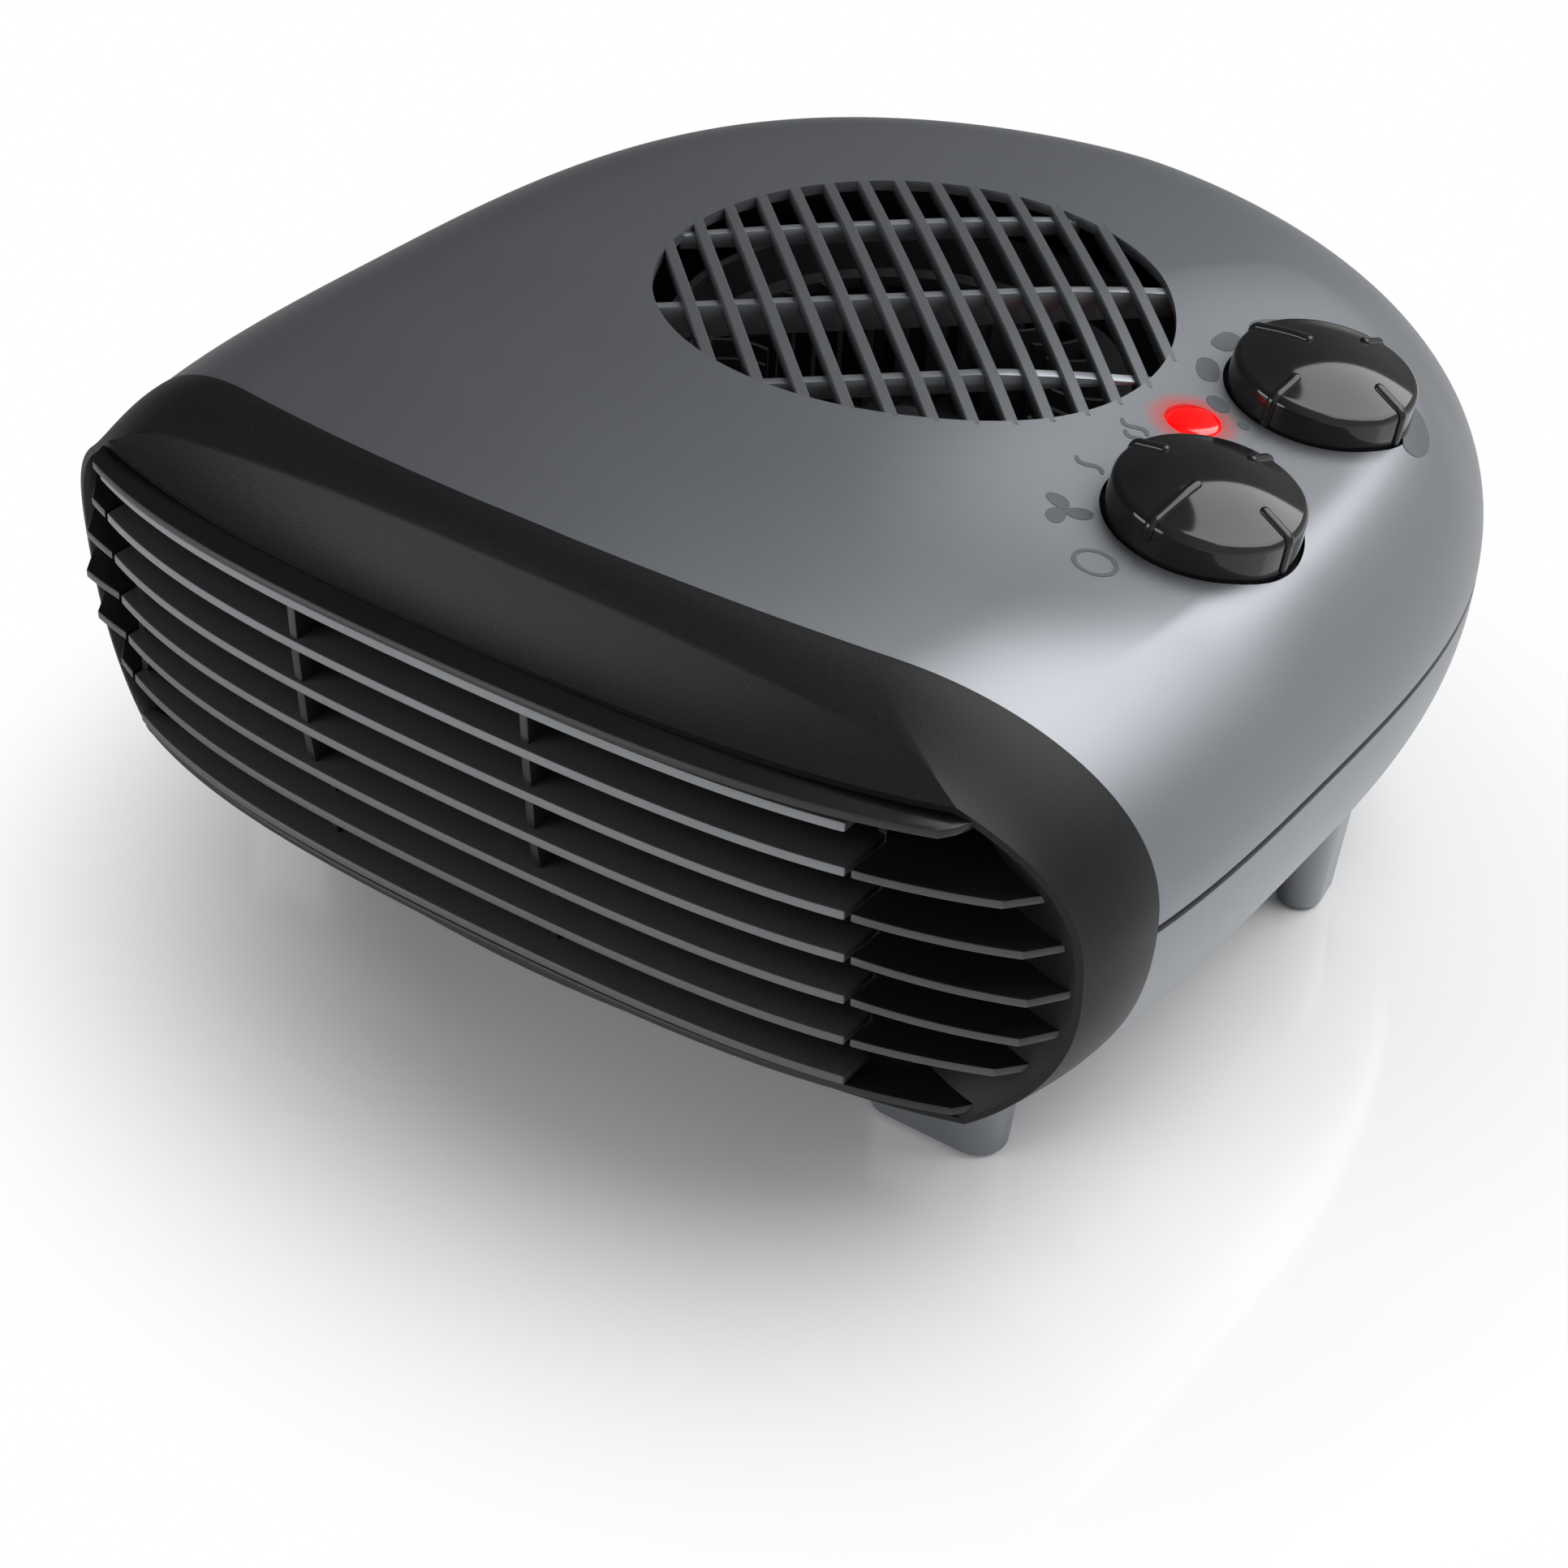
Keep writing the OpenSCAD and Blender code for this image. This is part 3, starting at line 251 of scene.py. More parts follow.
def low_h(f):
    """Height of the underside at the share f of the half width: it rises with the square."""
    return UNDER + UNDER_RISE * f * f


def low_z(a, t):
    """Height on the lower edge's rounding at angle a."""
    return SPLIT - (SPLIT - low_h(1.0 - low_d(a, 0.0) / HALF) - t) * cpow(np.sin(a), LOW_POWER)


def ease(u):
    c = np.clip(u, 0.0, 1.0)
    return c * c * (3.0 - 2.0 * c)


def press(p, z):
    """How far the top is moved at p to lie flat round the knobs, on a plane that leans with them."""
    along = KNOB_B[:2] - KNOB_A[:2]
    s = np.clip((p - KNOB_A[:2]) @ along / (along @ along), 0.0, 1.0)
    r = np.hypot(*(p - KNOB_A[:2] - s[..., None] * along).T).T
    g = KNOB_A[2] + PRESS_RISE - np.tan(rad(KNOB_LEAN)) * (p[..., 0] - KNOB_A[0]) - z
    down = g * (1.0 - ease((r - 20.0) / 52.0))
    up = PRESS_SOFT * (1.0 - np.exp(-np.maximum(g, 0.0) / PRESS_SOFT)) * (1.0 - ease((r - 18.0) / 20.0))
    return np.where(g < 0, down, up)


def lift_top(r, z, t):
    """The same on the top face, pressed flat round the knobs; t is the wall that was taken off z."""
    return np.column_stack([r, z + press(r, np.full(len(r), z + t))])


TOP_F = 1.0 - TOP_INSET / HALF
LOW_F = 1.0 - LOW_INSET / HALF


def top_loops(t, drop, n, edge=40, inner=34):
    """Loops of the upper body: up the rounded edge by angle, then inwards to the middle line."""
    loops = [lift(ring(t, n), SPLIT - drop)] if drop else []
    for a in np.linspace(0.0, np.pi / 2, edge):
        loops.append(lift_top(ring(top_d(a, t), n), top_z(a, t), t))
    for f in np.linspace(1.0, 0.0, inner + 2)[1:-1]:
        loops.append(lift_top(ring_in(t + TOP_INSET, f, n), top_h(TOP_F * f) - t, t))
    return loops


def low_loops(t, rise, n, edge=36, inner=30):
    """Loops of the lower body: outwards from the middle line, then up the rounded edge."""
    loops = []
    for f in np.linspace(0.0, 1.0, inner + 2)[1:-1]:
        loops.append(lift(ring_in(t + LOW_INSET, f, n), low_h(LOW_F * f) + t))
    for a in np.linspace(np.pi / 2, 0.0, edge):
        loops.append(lift(ring(low_d(a, t), n), low_z(a, t)))
    if rise:
        loops.append(lift(ring(t, n), SPLIT + rise))
    return loops


# Front of the bezel


def seam(x):
    """Where shells and bezel meet: a parabola bowing forward in the middle."""
    return SEAM_Y - SEAM_BOW * (1.0 - (x / SEAM_HALF) ** 2)


def bow(x):
    """Bow of everything across the front: a square and a fourth power of x."""
    u = x / BOW_HALF
    return SLAT_BOW * (BOW_SQUARE * u**2 + BOW_FOURTH * u**4)


def rim_y(x, z):
    """How far forward the mouth's rim stands."""
    u = x / MOUTH_HALF
    return RIM_FRONT + RIM_SQUARE * u**2 + RIM_FOURTH * u**4 + RIM_LEAN * (MOUTH_HIGH - z)


def quarter(i):
    """Which quarter of the section an index of 0 to 1 lies in, and 0 at the side to 1 at the middle line."""
    q = np.minimum(np.floor(i * 4.0), 3.0)
    r = i * 4.0 - q
    return q, np.where(q % 2 == 0, r, 1.0 - r)


def section(i, w, t):
    """Cross-section of the shells at half width w: the rounded edges by angle, then level to the middle."""
    q, f = quarter(i)
    a = rad(90.0 * np.minimum(f / EDGE, 1.0))
    g = 1.0 - (f - EDGE) / (1.0 - EDGE)
    edge = f < EDGE
    up_x = np.where(edge, w - top_d(a, t) / NORMAL_X, (w - (t + TOP_INSET) / NORMAL_X) * g)
    up_z = np.where(edge, top_z(a, t), top_h(TOP_F * g) - t)
    dn_x = np.where(edge, w - low_d(a, t) / NORMAL_X, (w - (t + LOW_INSET) / NORMAL_X) * g)
    dn_z = np.where(edge, low_z(a, t), low_h(LOW_F * g) + t)
    up = q < 2
    side = np.where((q == 0) | (q == 3), 1.0, -1.0)
    return side * np.where(up, up_x, dn_x), np.where(up, up_z, dn_z)


def section_edge(i, t):
    """The section carried to the seam: its half width is taken where the seam lies, found in two passes."""
    w = half_width(np.full_like(i, SEAM_Y))
    for _ in range(2):
        x, _z = section(i, w, t)
        w = half_width(seam(x))
    x, z = section(i, w, t)
    return np.stack([x, seam(x) - 0.2, z], axis=-1)


def rim(i, t):
    """The mouth's rim: a superellipse at the sides, cut off nearly straight above and below."""
    q, f = quarter(i)
    up = q < 2
    ww = MOUTH_HALF - t
    b1 = np.arccos((RIM_X / MOUTH_HALF) ** 1.25)
    b = b1 * np.minimum(1.0, f / EDGE)
    flat = ww * RIM_X / MOUTH_HALF * (1.0 - (f - EDGE) / (1.0 - EDGE))
    x = np.where(f < EDGE, ww * np.cos(b) ** 0.8, flat)
    h = (np.where(up, (MOUTH_HIGH + RIM_RISE - RIM_C) / 0.687, RIM_DEEP) - t) * cpow(np.sin(b), 0.8)
    z = np.where(
        up,
        np.minimum(RIM_C + h, MOUTH_HIGH + RIM_RISE * (x / RIM_X) ** 2 - t),
        np.maximum(RIM_C - h, MOUTH_LOW + t),
    )
    x = np.where((q == 0) | (q == 3), x, -x)
    return np.stack([x, rim_y(x, z), z], axis=-1)


def opening(i):
    """The squarer, off-centre opening at the back of the mouth, in line with the rim."""
    a = rim(i, 0.0)
    u = a[:, 0] / MOUTH_HALF
    v = (a[:, 2] - RIM_C) / 38.0
    r = (np.abs(u) ** BACK_POWER + np.abs(v) ** BACK_POWER) ** (-1 / BACK_POWER)
    x = SLAT_MID + (SLAT_HALF + 2.5) * u * r
    y = SEAM_Y - 5.0 - 11.0 * (1.0 - (u * r) ** 2)
    return np.stack([x, y, MOUTH_MID + np.where(v > 0, 38.5, 35.0) * v * r], axis=-1)


def skin(i, s, t):
    """Outer skin of the bezel from seam to rim. It leaves the seam level, curls in with the square of the
    way, and over the mouth it dips into the hood's long hollow."""
    a = section_edge(i, t)
    b = rim(i, t * 0.9)
    r = rim(i, 0.0)
    w = np.where(r[:, 2] < HOOD_LOW, 0.0, cpow(1.0 - (np.abs(r[:, 0]) / RIM_X) ** 3, 0.7))
    tr = np.where(w > 0, 0.84 - 0.34 * w, 0.6 + 0.24 * ease((r[:, 2] - 80.0) / 17.0))
    u = np.where(s < 0.5, s * 2 * tr, tr + (s - 0.5) * 2 * (1.0 - tr))
    k = u**2
    kr = tr**2
    g = (u - tr) / (1.0 - tr)
    kl = kr + (1.0 - kr) * g
    zc = a[:, 2] + (b[:, 2] - a[:, 2]) * k
    zl = a[:, 2] + (b[:, 2] - a[:, 2]) * kl - SCOOP * 4.0 * g * (1.0 - g)
    x = a[:, 0] + (b[:, 0] - a[:, 0]) * k
    y = a[:, 1] + (b[:, 1] + t * 0.5 - a[:, 1]) * u
    return np.stack([x, y, np.where(u > tr, zc * (1.0 - w) + zl * w, zc)], axis=-1)


def dish(i, s):
    """Wall of the mouth from the rim back to the opening, steeper the further back it goes."""
    a = rim(i, 1.4)
    b = opening(i)
    y = a[:, 1] + (b[:, 1] - a[:, 1]) * s**1.5
    return np.stack([a[:, 0] + (b[:, 0] - a[:, 0]) * s, y, a[:, 2] + (b[:, 2] - a[:, 2]) * s], axis=-1)


def dish_back(i, s):
    """The dish's hidden side, a wall further back and a little wider."""
    p = dish(i, s)
    u = (p[:, 0] - SLAT_MID) / 96.0
    v = (p[:, 2] - MOUTH_MID) / 36.0
    p[:, 0] += 1.5 * np.sign(u) * np.minimum(1.0, (u / 0.85) ** 4)
    p[:, 1] += WALL
    p[:, 2] += 1.5 * np.sign(v) * np.minimum(1.0, (v / 0.7) ** 4)
    return p


# Meshes from arrays


def new_object(name, mesh):
    obj = bpy.data.objects.new(name, mesh)
    bpy.context.scene.collection.objects.link(obj)
    return obj


def make_mesh(name, points, quads, ngons=()):
    """A mesh from points in millimetres and rows of corner numbers; a repeated corner makes a triangle."""
    mesh = bpy.data.meshes.new(name)
    quads = np.asarray(quads, dtype=np.int64).reshape(-1, 4)
    same = (quads == np.roll(quads, -1, axis=1)).sum(axis=1)
    faces = [list(q) for q in quads[same == 0]]
    faces += [list(dict.fromkeys(q)) for q in quads[same == 1]]
    faces += [list(g) for g in ngons]
    mesh.from_pydata((np.asarray(points) * MM).tolist(), [], faces)
    mesh.validate()
    return mesh


def grid_faces(rows, cols, wrap_rows=False, wrap_cols=False):
    """Corner numbers of a grid of rows by columns, joined round where asked."""
    r = np.arange(rows if wrap_rows else rows - 1)
    c = np.arange(cols if wrap_cols else cols - 1)
    j, i = np.meshgrid(r, c, indexing="ij")
    j2, i2 = (j + 1) % rows, (i + 1) % cols
    return np.stack([j * cols + i, j * cols + i2, j2 * cols + i2, j2 * cols + i], axis=-1).reshape(-1, 4)


def strip_cap(start, n, flip):
    """Quads across a flat loop of 2n + 1 points, each joining a point to its mirror image."""
    i = np.arange(n)
    q = np.stack([i, i + 1, 2 * n - i - 1, 2 * n - i], axis=-1) + start
    return q[:, ::-1] if flip else q


def stack_mesh(name, loops):
    """A closed body from loops of 2n + 1 points, lowest first, each going round the same way."""
    cols = len(loops[0])
    n = (cols - 1) // 2
    faces = [
        grid_faces(len(loops), cols, wrap_cols=True),
        strip_cap(0, n, True),
        strip_cap((len(loops) - 1) * cols, n, False),
    ]
    return make_mesh(name, np.concatenate(loops), np.concatenate(faces))


def tube(name, loops):
    """A closed body from loops with the same number of points, capped at both ends."""
    rows, m = len(loops), len(loops[0])
    caps = [np.arange(m)[::-1], np.arange(m) + (rows - 1) * m]
    return make_mesh(name, np.concatenate(loops), grid_faces(rows, m, wrap_cols=True), caps)


def prism(name, outline_xy, z0, z1):
    """An upright block over an outline that goes round anticlockwise."""
    p = np.asarray(outline_xy, float)
    return tube(name, [lift(p, z0), lift(p, z1)])


def block(name, low, high):
    (x0, y0, z0), (x1, y1, z1) = low, high
    return prism(name, [(x0, y0), (x1, y0), (x1, y1), (x0, y1)], z0, z1)


def lathe(name, profile, turns=160):
    """A closed body of revolution about Z from rows of radius and height, first and last on the axis."""
    ways, rows = unit(circle(turns)), len(profile)
    loops = [lift(ways * r, h) for r, h in profile]
    points = np.concatenate([*loops, [[0, 0, profile[0][1]], [0, 0, profile[-1][1]]]])
    first, last_loop = rows * turns, (rows - 1) * turns
    i = np.arange(turns)
    j = (i + 1) % turns
    low = np.stack([np.full(turns, first), j, i, i], axis=-1)
    high = np.stack([np.full(turns, first + 1), last_loop + i, last_loop + j, last_loop + j], axis=-1)
    return make_mesh(name, points, np.concatenate([grid_faces(rows, turns, wrap_cols=True), low, high]))


def place(mesh, matrix):
    """Moves a mesh's own points, in metres, so its object can stay at the origin."""
    mesh.transform(matrix)
    return mesh


def spin(degrees, axis="Z"):
    return Matrix.Rotation(rad(degrees), 4, axis)


def upright(at):
    return Matrix.Translation((np.asarray(at, float) * MM).tolist())


def knob_frame(at):
    return upright(at) @ spin(KNOB_LEAN, "Y")


def boolean(obj, cutters, how="DIFFERENCE"):
    """Cuts an object with closed meshes, or trims it to them, one after the other, and keeps the result."""
    for cutter_mesh in cutters:
        cutter = new_object("cutter", cutter_mesh)
        mod = obj.modifiers.new("cut", "BOOLEAN")
        mod.operation = how
        mod.solver = "MANIFOLD"
        mod.object = cutter
        bake_modifiers(obj)
        bpy.data.objects.remove(cutter)


def bake_modifiers(obj):
    graph = bpy.context.evaluated_depsgraph_get()
    done = bpy.data.meshes.new_from_object(obj.evaluated_get(graph))
    obj.modifiers.clear()
    obj.data = done


def soften(obj, angle=28.0):
    """Smooth shading that keeps every edge sharper than the angle."""
    obj.data.shade_smooth()
    obj.data.set_sharp_from_angle(angle=rad(angle))


def bevel(obj, width, segments=2, angle=35.0):
    mod = obj.modifiers.new("edge", "BEVEL")
    mod.width = width * MM
    mod.segments = segments
    mod.limit_method = "ANGLE"
    mod.angle_limit = rad(angle)
    bake_modifiers(obj)
    soften(obj, 40.0)


def join(name, meshes):
    """One mesh from several, end to end."""
    pts, faces, count = [], [], 0
    for m in meshes:
        co = np.empty(len(m.vertices) * 3)
        m.vertices.foreach_get("co", co)
        pts.append(co.reshape(-1, 3))
        faces += [[v + count for v in p.vertices] for p in m.polygons]
        count += len(m.vertices)
        bpy.data.meshes.remove(m)
    mesh = bpy.data.meshes.new(name)
    mesh.from_pydata(np.concatenate(pts).tolist(), [], faces)
    return mesh


def finish_piece(obj, material, slot, *nodes, body="housing"):
    """Gives an object its material and body, and hides the CAD nodes that it stands for. The slot is not
    used.
    """
    obj.data.materials.clear()
    obj.data.materials.append(material)
    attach(obj, body)
    if nodes:
        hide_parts(*nodes)
    return obj


# Shader expressions


class Value:
    """A shader socket or number that can be added, subtracted, multiplied and so on."""

    def __init__(self, shader, socket):
        self.shader = shader
        self.socket = socket

    def math(self, how, other):
        return self.shader.node("ShaderNodeMath", {"operation": how}, {0: self, 1: other})

    def __add__(self, other):
        return self.math("ADD", other)

    __radd__ = __add__

    def __mul__(self, other):
        return self.math("MULTIPLY", other)

    __rmul__ = __mul__

    def __sub__(self, other):
        return self.math("SUBTRACT", other)

    def __rsub__(self, other):
        return self.shader.node("ShaderNodeMath", {"operation": "SUBTRACT"}, {0: other, 1: self})

    def __truediv__(self, other):
        return self.math("DIVIDE", other)

    def ramp(self, low, high, start=0.0, end=1.0, how="LINEAR"):
        """Goes from start at low to end at high."""
        limits = {"Value": self, "From Min": low, "From Max": high, "To Min": start, "To Max": end}
        return self.shader.node("ShaderNodeMapRange", {"interpolation_type": how}, limits)

    def smooth(self, low, high, start=0.0, end=1.0):
        """The same with soft ends."""
        return self.ramp(low, high, start, end, "SMOOTHSTEP")


class Nodes:
    """A node tree with a short way to add to it."""

    def __init__(self, tree):
        self.tree = tree

    def node(self, kind, settings=None, inputs=None, output=0):
        """Any node: its settings are set first, then the values or links of its sockets."""
        made = self.tree.nodes.new(kind)
        for key, value in (settings or {}).items():
            setattr(made, key, value)
        for key, value in (inputs or {}).items():
            socket = made.inputs[key]
            if isinstance(value, Value):
                self.tree.links.new(value.socket, socket)
            else:
                socket.default_value = value
        return Value(self, made.outputs[output])


class Finish(Nodes):
    """A material made of nodes."""

    def __init__(self, name, **sockets):
        self.material = bpy.data.materials.new(name)
        self.material.use_nodes = True
        super().__init__(self.material.node_tree)
        self.shader = self.tree.nodes["Principled BSDF"]
        self.set(**sockets)

    def set(self, **sockets):
        for key, value in sockets.items():
            socket = self.shader.inputs[key.replace("_", " ")]
            if isinstance(value, Value):
                self.tree.links.new(value.socket, socket)
            elif hasattr(value, "__len__") and len(value) == 3:
                socket.default_value = (*value, 1.0)
            else:
                socket.default_value = value

    def place_on(self, scale=1.0, stretch=(1.0, 1.0, 1.0)):
        """Object coordinates in metres, scaled."""
        coord = self.node("ShaderNodeTexCoord", output="Object")
        size = tuple(scale * s for s in stretch)
        return self.node("ShaderNodeMapping", inputs={"Vector": coord, "Scale": size})

    def noise(self, scale, detail=3.0, rough=0.6, stretch=(1.0, 1.0, 1.0)):
        inputs = {"Vector": self.place_on(scale, stretch), "Scale": 1.0, "Detail": detail, "Roughness": rough}
        return self.node("ShaderNodeTexNoise", inputs=inputs)

    def cells(self, scale, feature="F1"):
        inputs = {"Vector": self.place_on(scale), "Scale": 1.0}
        return self.node("ShaderNodeTexVoronoi", {"feature": feature}, inputs, "Distance")

    def mix(self, amount, low, high):
        """Between two colours by a share."""
        low = low if isinstance(low, Value) else (*low, 1.0)
        high = high if isinstance(high, Value) else (*high, 1.0)
        return self.node("ShaderNodeMix", {"data_type": "RGBA"}, {"Factor": amount, 6: low, 7: high}, 2)

    def tint(self, amount, color, low, high):
        """One colour from its darker to its paler shade."""
        return self.mix(amount, shade(color, low), shade(color, high))

    def far_from(self, spot, scale=1.0):
        """Distance from a spot, in metres times the scale."""
        places = {0: self.place_on(scale), 1: tuple(float(v) for v in spot)}
        return self.node("ShaderNodeVectorMath", {"operation": "DISTANCE"}, places, "Value")

    def bump(self, height, depth):
        """Surface relief, depth in millimetres."""
        inputs = {"Height": height, "Distance": depth * MM, "Strength": 1.0}
        self.set(Normal=self.node("ShaderNodeBump", inputs=inputs))
        return self.material

    def uneven(self, rough):
        """Slow unevenness of moulded plastic in gloss and surface. Gives the tone that goes with it."""
        cloud, fine = self.noise(26.0, 4.0), self.noise(1500.0, 2.0)
        self.set(Roughness=wander(rough, (cloud, 0.1), (fine, 0.08)))
        self.bump(fine + cloud * 2.0, 0.012)
        return cloud.ramp(0.3, 0.7)


def shade(c, k):
    return tuple(min(1.0, max(0.0, v * k)) for v in c)


def wander(middle, *parts):
    """A value that strays from its middle by shares of some noises."""
    first, *rest = [(noise - 0.5) * k for noise, k in parts]
    return sum(rest, first) + middle


def silver_finish(name, color, rough, painted_glow_at=None):
    """Satin silver plastic: metallic flakes, a very fine grain and faint smudges, with a painted red glow of
    the lamp round a spot.
    """
    m = Finish(name, Metallic=0.85, Coat_Roughness=0.35, Specular_IOR_Level=0.5)
    flake, cloud, fine = m.noise(5200.0, 2.0, 0.7), m.noise(14.0, 4.0), m.noise(900.0)
    tone = wander(0.5, (flake, 0.22), (cloud, 0.05), (fine, 0.05))
    base = m.tint(tone.ramp(0.3, 0.7), color, 0.86, 1.14)
    if painted_glow_at is not None:
        # Painted light: a red glow of the pilot lamp on the shell round the lens
        base = m.mix(m.far_from(painted_glow_at, 1.0 / MM).smooth(5.6, 11.0), (0.5, 0.12, 0.12), base)
    rough = wander(rough, (cloud, 0.07), (fine, 0.05))
    m.set(Base_Color=base, Roughness=rough, Coat_Weight=cloud * 0.05 + 0.1)
    return m.bump(fine + flake * 0.5, 0.010)


def grained_black(name, color, rough, grain=2100.0, depth=0.03):
    """Fine-textured black moulded plastic, slightly paler where the grain stands proud."""
    m = Finish(name, Specular_IOR_Level=0.2)
    relief = m.cells(grain, "SMOOTH_F1") * 0.7 + m.noise(grain * 2.2, 2.0) * 0.5
    rough = wander(rough, (m.noise(11.0, 3.0, 0.5), 0.08), (relief, 0.06))
    m.set(Base_Color=m.tint(relief.ramp(0.2, 0.9), color, 0.8, 1.35), Roughness=rough)
    return m.bump(relief, depth)


def mark_front(obj):
    """Gives every face a number, 1 where it looks to the front and 0 where it looks up, down or back: it
    places the painted light on the front faces.
    """
    mesh = obj.data
    normal = np.empty(len(mesh.polygons) * 3)
    mesh.polygons.foreach_get("normal", normal)
    painted_light_facing = np.clip(-normal.reshape(-1, 3)[:, 1] * 2.0 - 0.6, 0.0, 1.0)
    layer = mesh.attributes.new("painted_light_facing", "FLOAT", "FACE")
    layer.data.foreach_set("value", painted_light_facing.astype(np.float32))


def plastic_with_painted_light(name, top, front, rough, lip=None):
    """Moulded slats or fins whose front faces get a paler colour as painted light. With a lip colour, the
    tops darken as painted shade from the front edge back, and the fronts of the lower slats get painted
    shade; the way back is measured from the bowed front line of each slat, whose place goes with its height."""
    m = Finish(name, Specular_IOR_Level=0.35)
    tone = m.uneven(rough)
    base, pale = m.tint(tone, top, 0.88, 1.12), m.tint(tone, front, 0.92, 1.08)
    if lip:
        split = m.node("ShaderNodeSeparateXYZ", inputs={0: m.place_on(1.0 / MM)})
        x, y, z = (Value(m, part) for part in split.socket.node.outputs)
        u = (x / BOW_HALF) * (x / BOW_HALF)
        edge = (u * BOW_SQUARE + u * u * BOW_FOURTH) * SLAT_BOW
        back = y - edge - (slat_y(0) + (SLAT_TOP - z) * (SLAT_RAKE / SLAT_PITCH))
        # Painted shade: the tops darken from the front edge back towards the lip colour
        base = m.mix(back.smooth(0.5, 15.0), lip, base)
        # Painted shade on the fronts of the lower slats, darker towards the bottom
        high = ((z - 40.0) / 56.0).ramp(0.0, 1.0)
        pale = m.mix(high, shade(front, 0.45), pale)
    # Painted light: faces that look to the front get the paler colour
    painted_light_facing = m.node("ShaderNodeAttribute", {"attribute_name": "painted_light_facing"}, output="Fac")
    m.set(Base_Color=m.mix(painted_light_facing, base, pale))
    return m.material


def smooth_plastic(name, color, rough):
    """Plain moulded plastic."""
    m = Finish(name)
    m.set(Base_Color=m.tint(m.uneven(rough), color, 0.88, 1.12))
    return m.material


def polished_black(name, color):
    """Polished black knob plastic under a hard clear gloss, with hairline polishing marks."""
    m = Finish(name, Coat_Roughness=0.06, Specular_IOR_Level=0.3)
    hair, cloud = m.noise(240.0, stretch=(1.0, 9.0, 1.0)), m.noise(60.0, 3.0, 0.5)
    m.set(
        Base_Color=m.tint(cloud.ramp(0.3, 0.7), color, 0.8, 1.25),
        Roughness=wander(0.09, (hair, 0.05)),
        Coat_Weight=cloud * 0.1 + 0.18,
    )
    return m.bump(hair, 0.0015)


def metal(name, color, rough, brushed=(1.0, 1.0, 14.0), spangle=0.0):
    """Drawn or plated metal: fine lines along one way, or a spangle, and dull patches."""
    m = Finish(name, Metallic=1.0)
    lines, cloud = m.noise(700.0, stretch=brushed), m.noise(55.0, 4.0)
    tone = wander(0.5, (lines, 0.35), (cloud, 0.3))
    if spangle:
        tone = tone + (m.cells(190.0) - 0.4) * spangle
    rough = wander(rough, (lines, 0.14), (cloud, 0.16))
    m.set(Base_Color=m.tint(tone.ramp(0.2, 0.8), color, 0.78, 1.18), Roughness=rough)
    return m.bump(lines, 0.012)


def wound_copper(name, color):
    """Enamelled wire laid in tight turns."""
    m = Finish(name, Metallic=0.9, Coat_Roughness=0.2)
    bands = {"wave_type": "BANDS", "bands_direction": "Z"}
    inputs = {"Vector": m.place_on(), "Scale": 420.0, "Distortion": 0.6, "Detail": 1.0}
    turns, cloud = m.node("ShaderNodeTexWave", bands, inputs, "Fac"), m.noise(120.0, 3.0, 0.55)
    m.set(
        Base_Color=m.tint(turns * 0.7 + cloud * 0.3, color, 0.35, 1.2),
        Roughness=cloud * 0.15 + 0.25,
        Coat_Weight=cloud * 0.2 + 0.5,
    )
    return m.bump(turns, 0.12)


def layered_mica(name, color):
    """Pressed mica board: glittering flakes in pale layers."""
    m = Finish(name, Coat_Roughness=0.15)
    flakes, cloud = m.cells(520.0), m.noise(80.0, 5.0, 0.65)
    m.set(
        Base_Color=m.tint(cloud * 0.7 + flakes * 0.4, color, 0.6, 1.3),
        Roughness=flakes * 0.3 + 0.35,
        Metallic=flakes.ramp(0.5, 0.9) * 0.4,
        Coat_Weight=flakes * 0.25,
    )
    return m.bump(flakes + cloud, 0.03)


def printed_mark(name, color):
    """Thin screen-printed ink, a little uneven."""
    m = Finish(name, Specular_IOR_Level=0.4)
    fine, cloud = m.noise(1900.0), m.noise(260.0)
    m.set(Base_Color=m.tint(fine * 0.5 + cloud * 0.5, color, 0.8, 1.25), Roughness=cloud * 0.15 + 0.42)
    return m.bump(fine, 0.004)


def glowing_lens(name, color, glow):
    """Red lens lit from below, with fine facets inside."""
    m = Finish(name, Roughness=0.14, Coat_Roughness=0.05, Emission_Strength=glow)
    facets = m.cells(900.0)
    m.set(
        Base_Color=m.tint(facets.ramp(0.1, 0.8), color, 0.8, 1.0),
        Emission_Color=m.mix(facets.ramp(0.0, 0.9), (1.0, 0.0, 0.0), (0.85, 0.005, 0.004)),
        Coat_Weight=facets * 0.1 + 0.5,
    )
    return m.bump(facets, 0.01)


# Settings


def colour(name, text, default):
    return FloatVectorProperty(
        name=name, description=text, default=default, subtype="COLOR", size=3, min=0.0, max=1.0
    )


def share(name, text, default):
    return FloatProperty(name=name, description=text, default=default, min=0.0, max=1.0, subtype="FACTOR")


def length(name, text, default):
    return FloatProperty(name=name, description=text, default=default, unit="LENGTH", precision=5)


def number(name, text, default, low, high, kind=FloatProperty):
    return kind(name=name, description=text, default=default, min=low, max=high)


class HousingSettings(bpy.types.PropertyGroup):
    shell_color: colour("Shell colour", "Colour of the silver-grey shells", (0.228, 0.239, 0.257))
    shell_rough: share("Shell roughness", "How satin the shells are", 0.46)
    steps: number("Outline steps", "Steps along half of the outline", 170, 40, 300, IntProperty)
    mark_color: colour("Mark colour", "Ink of the printed symbols", (0.085, 0.095, 0.105))
    mark_t: length("Mark thickness", "Height of the printed ink", 0.00006)


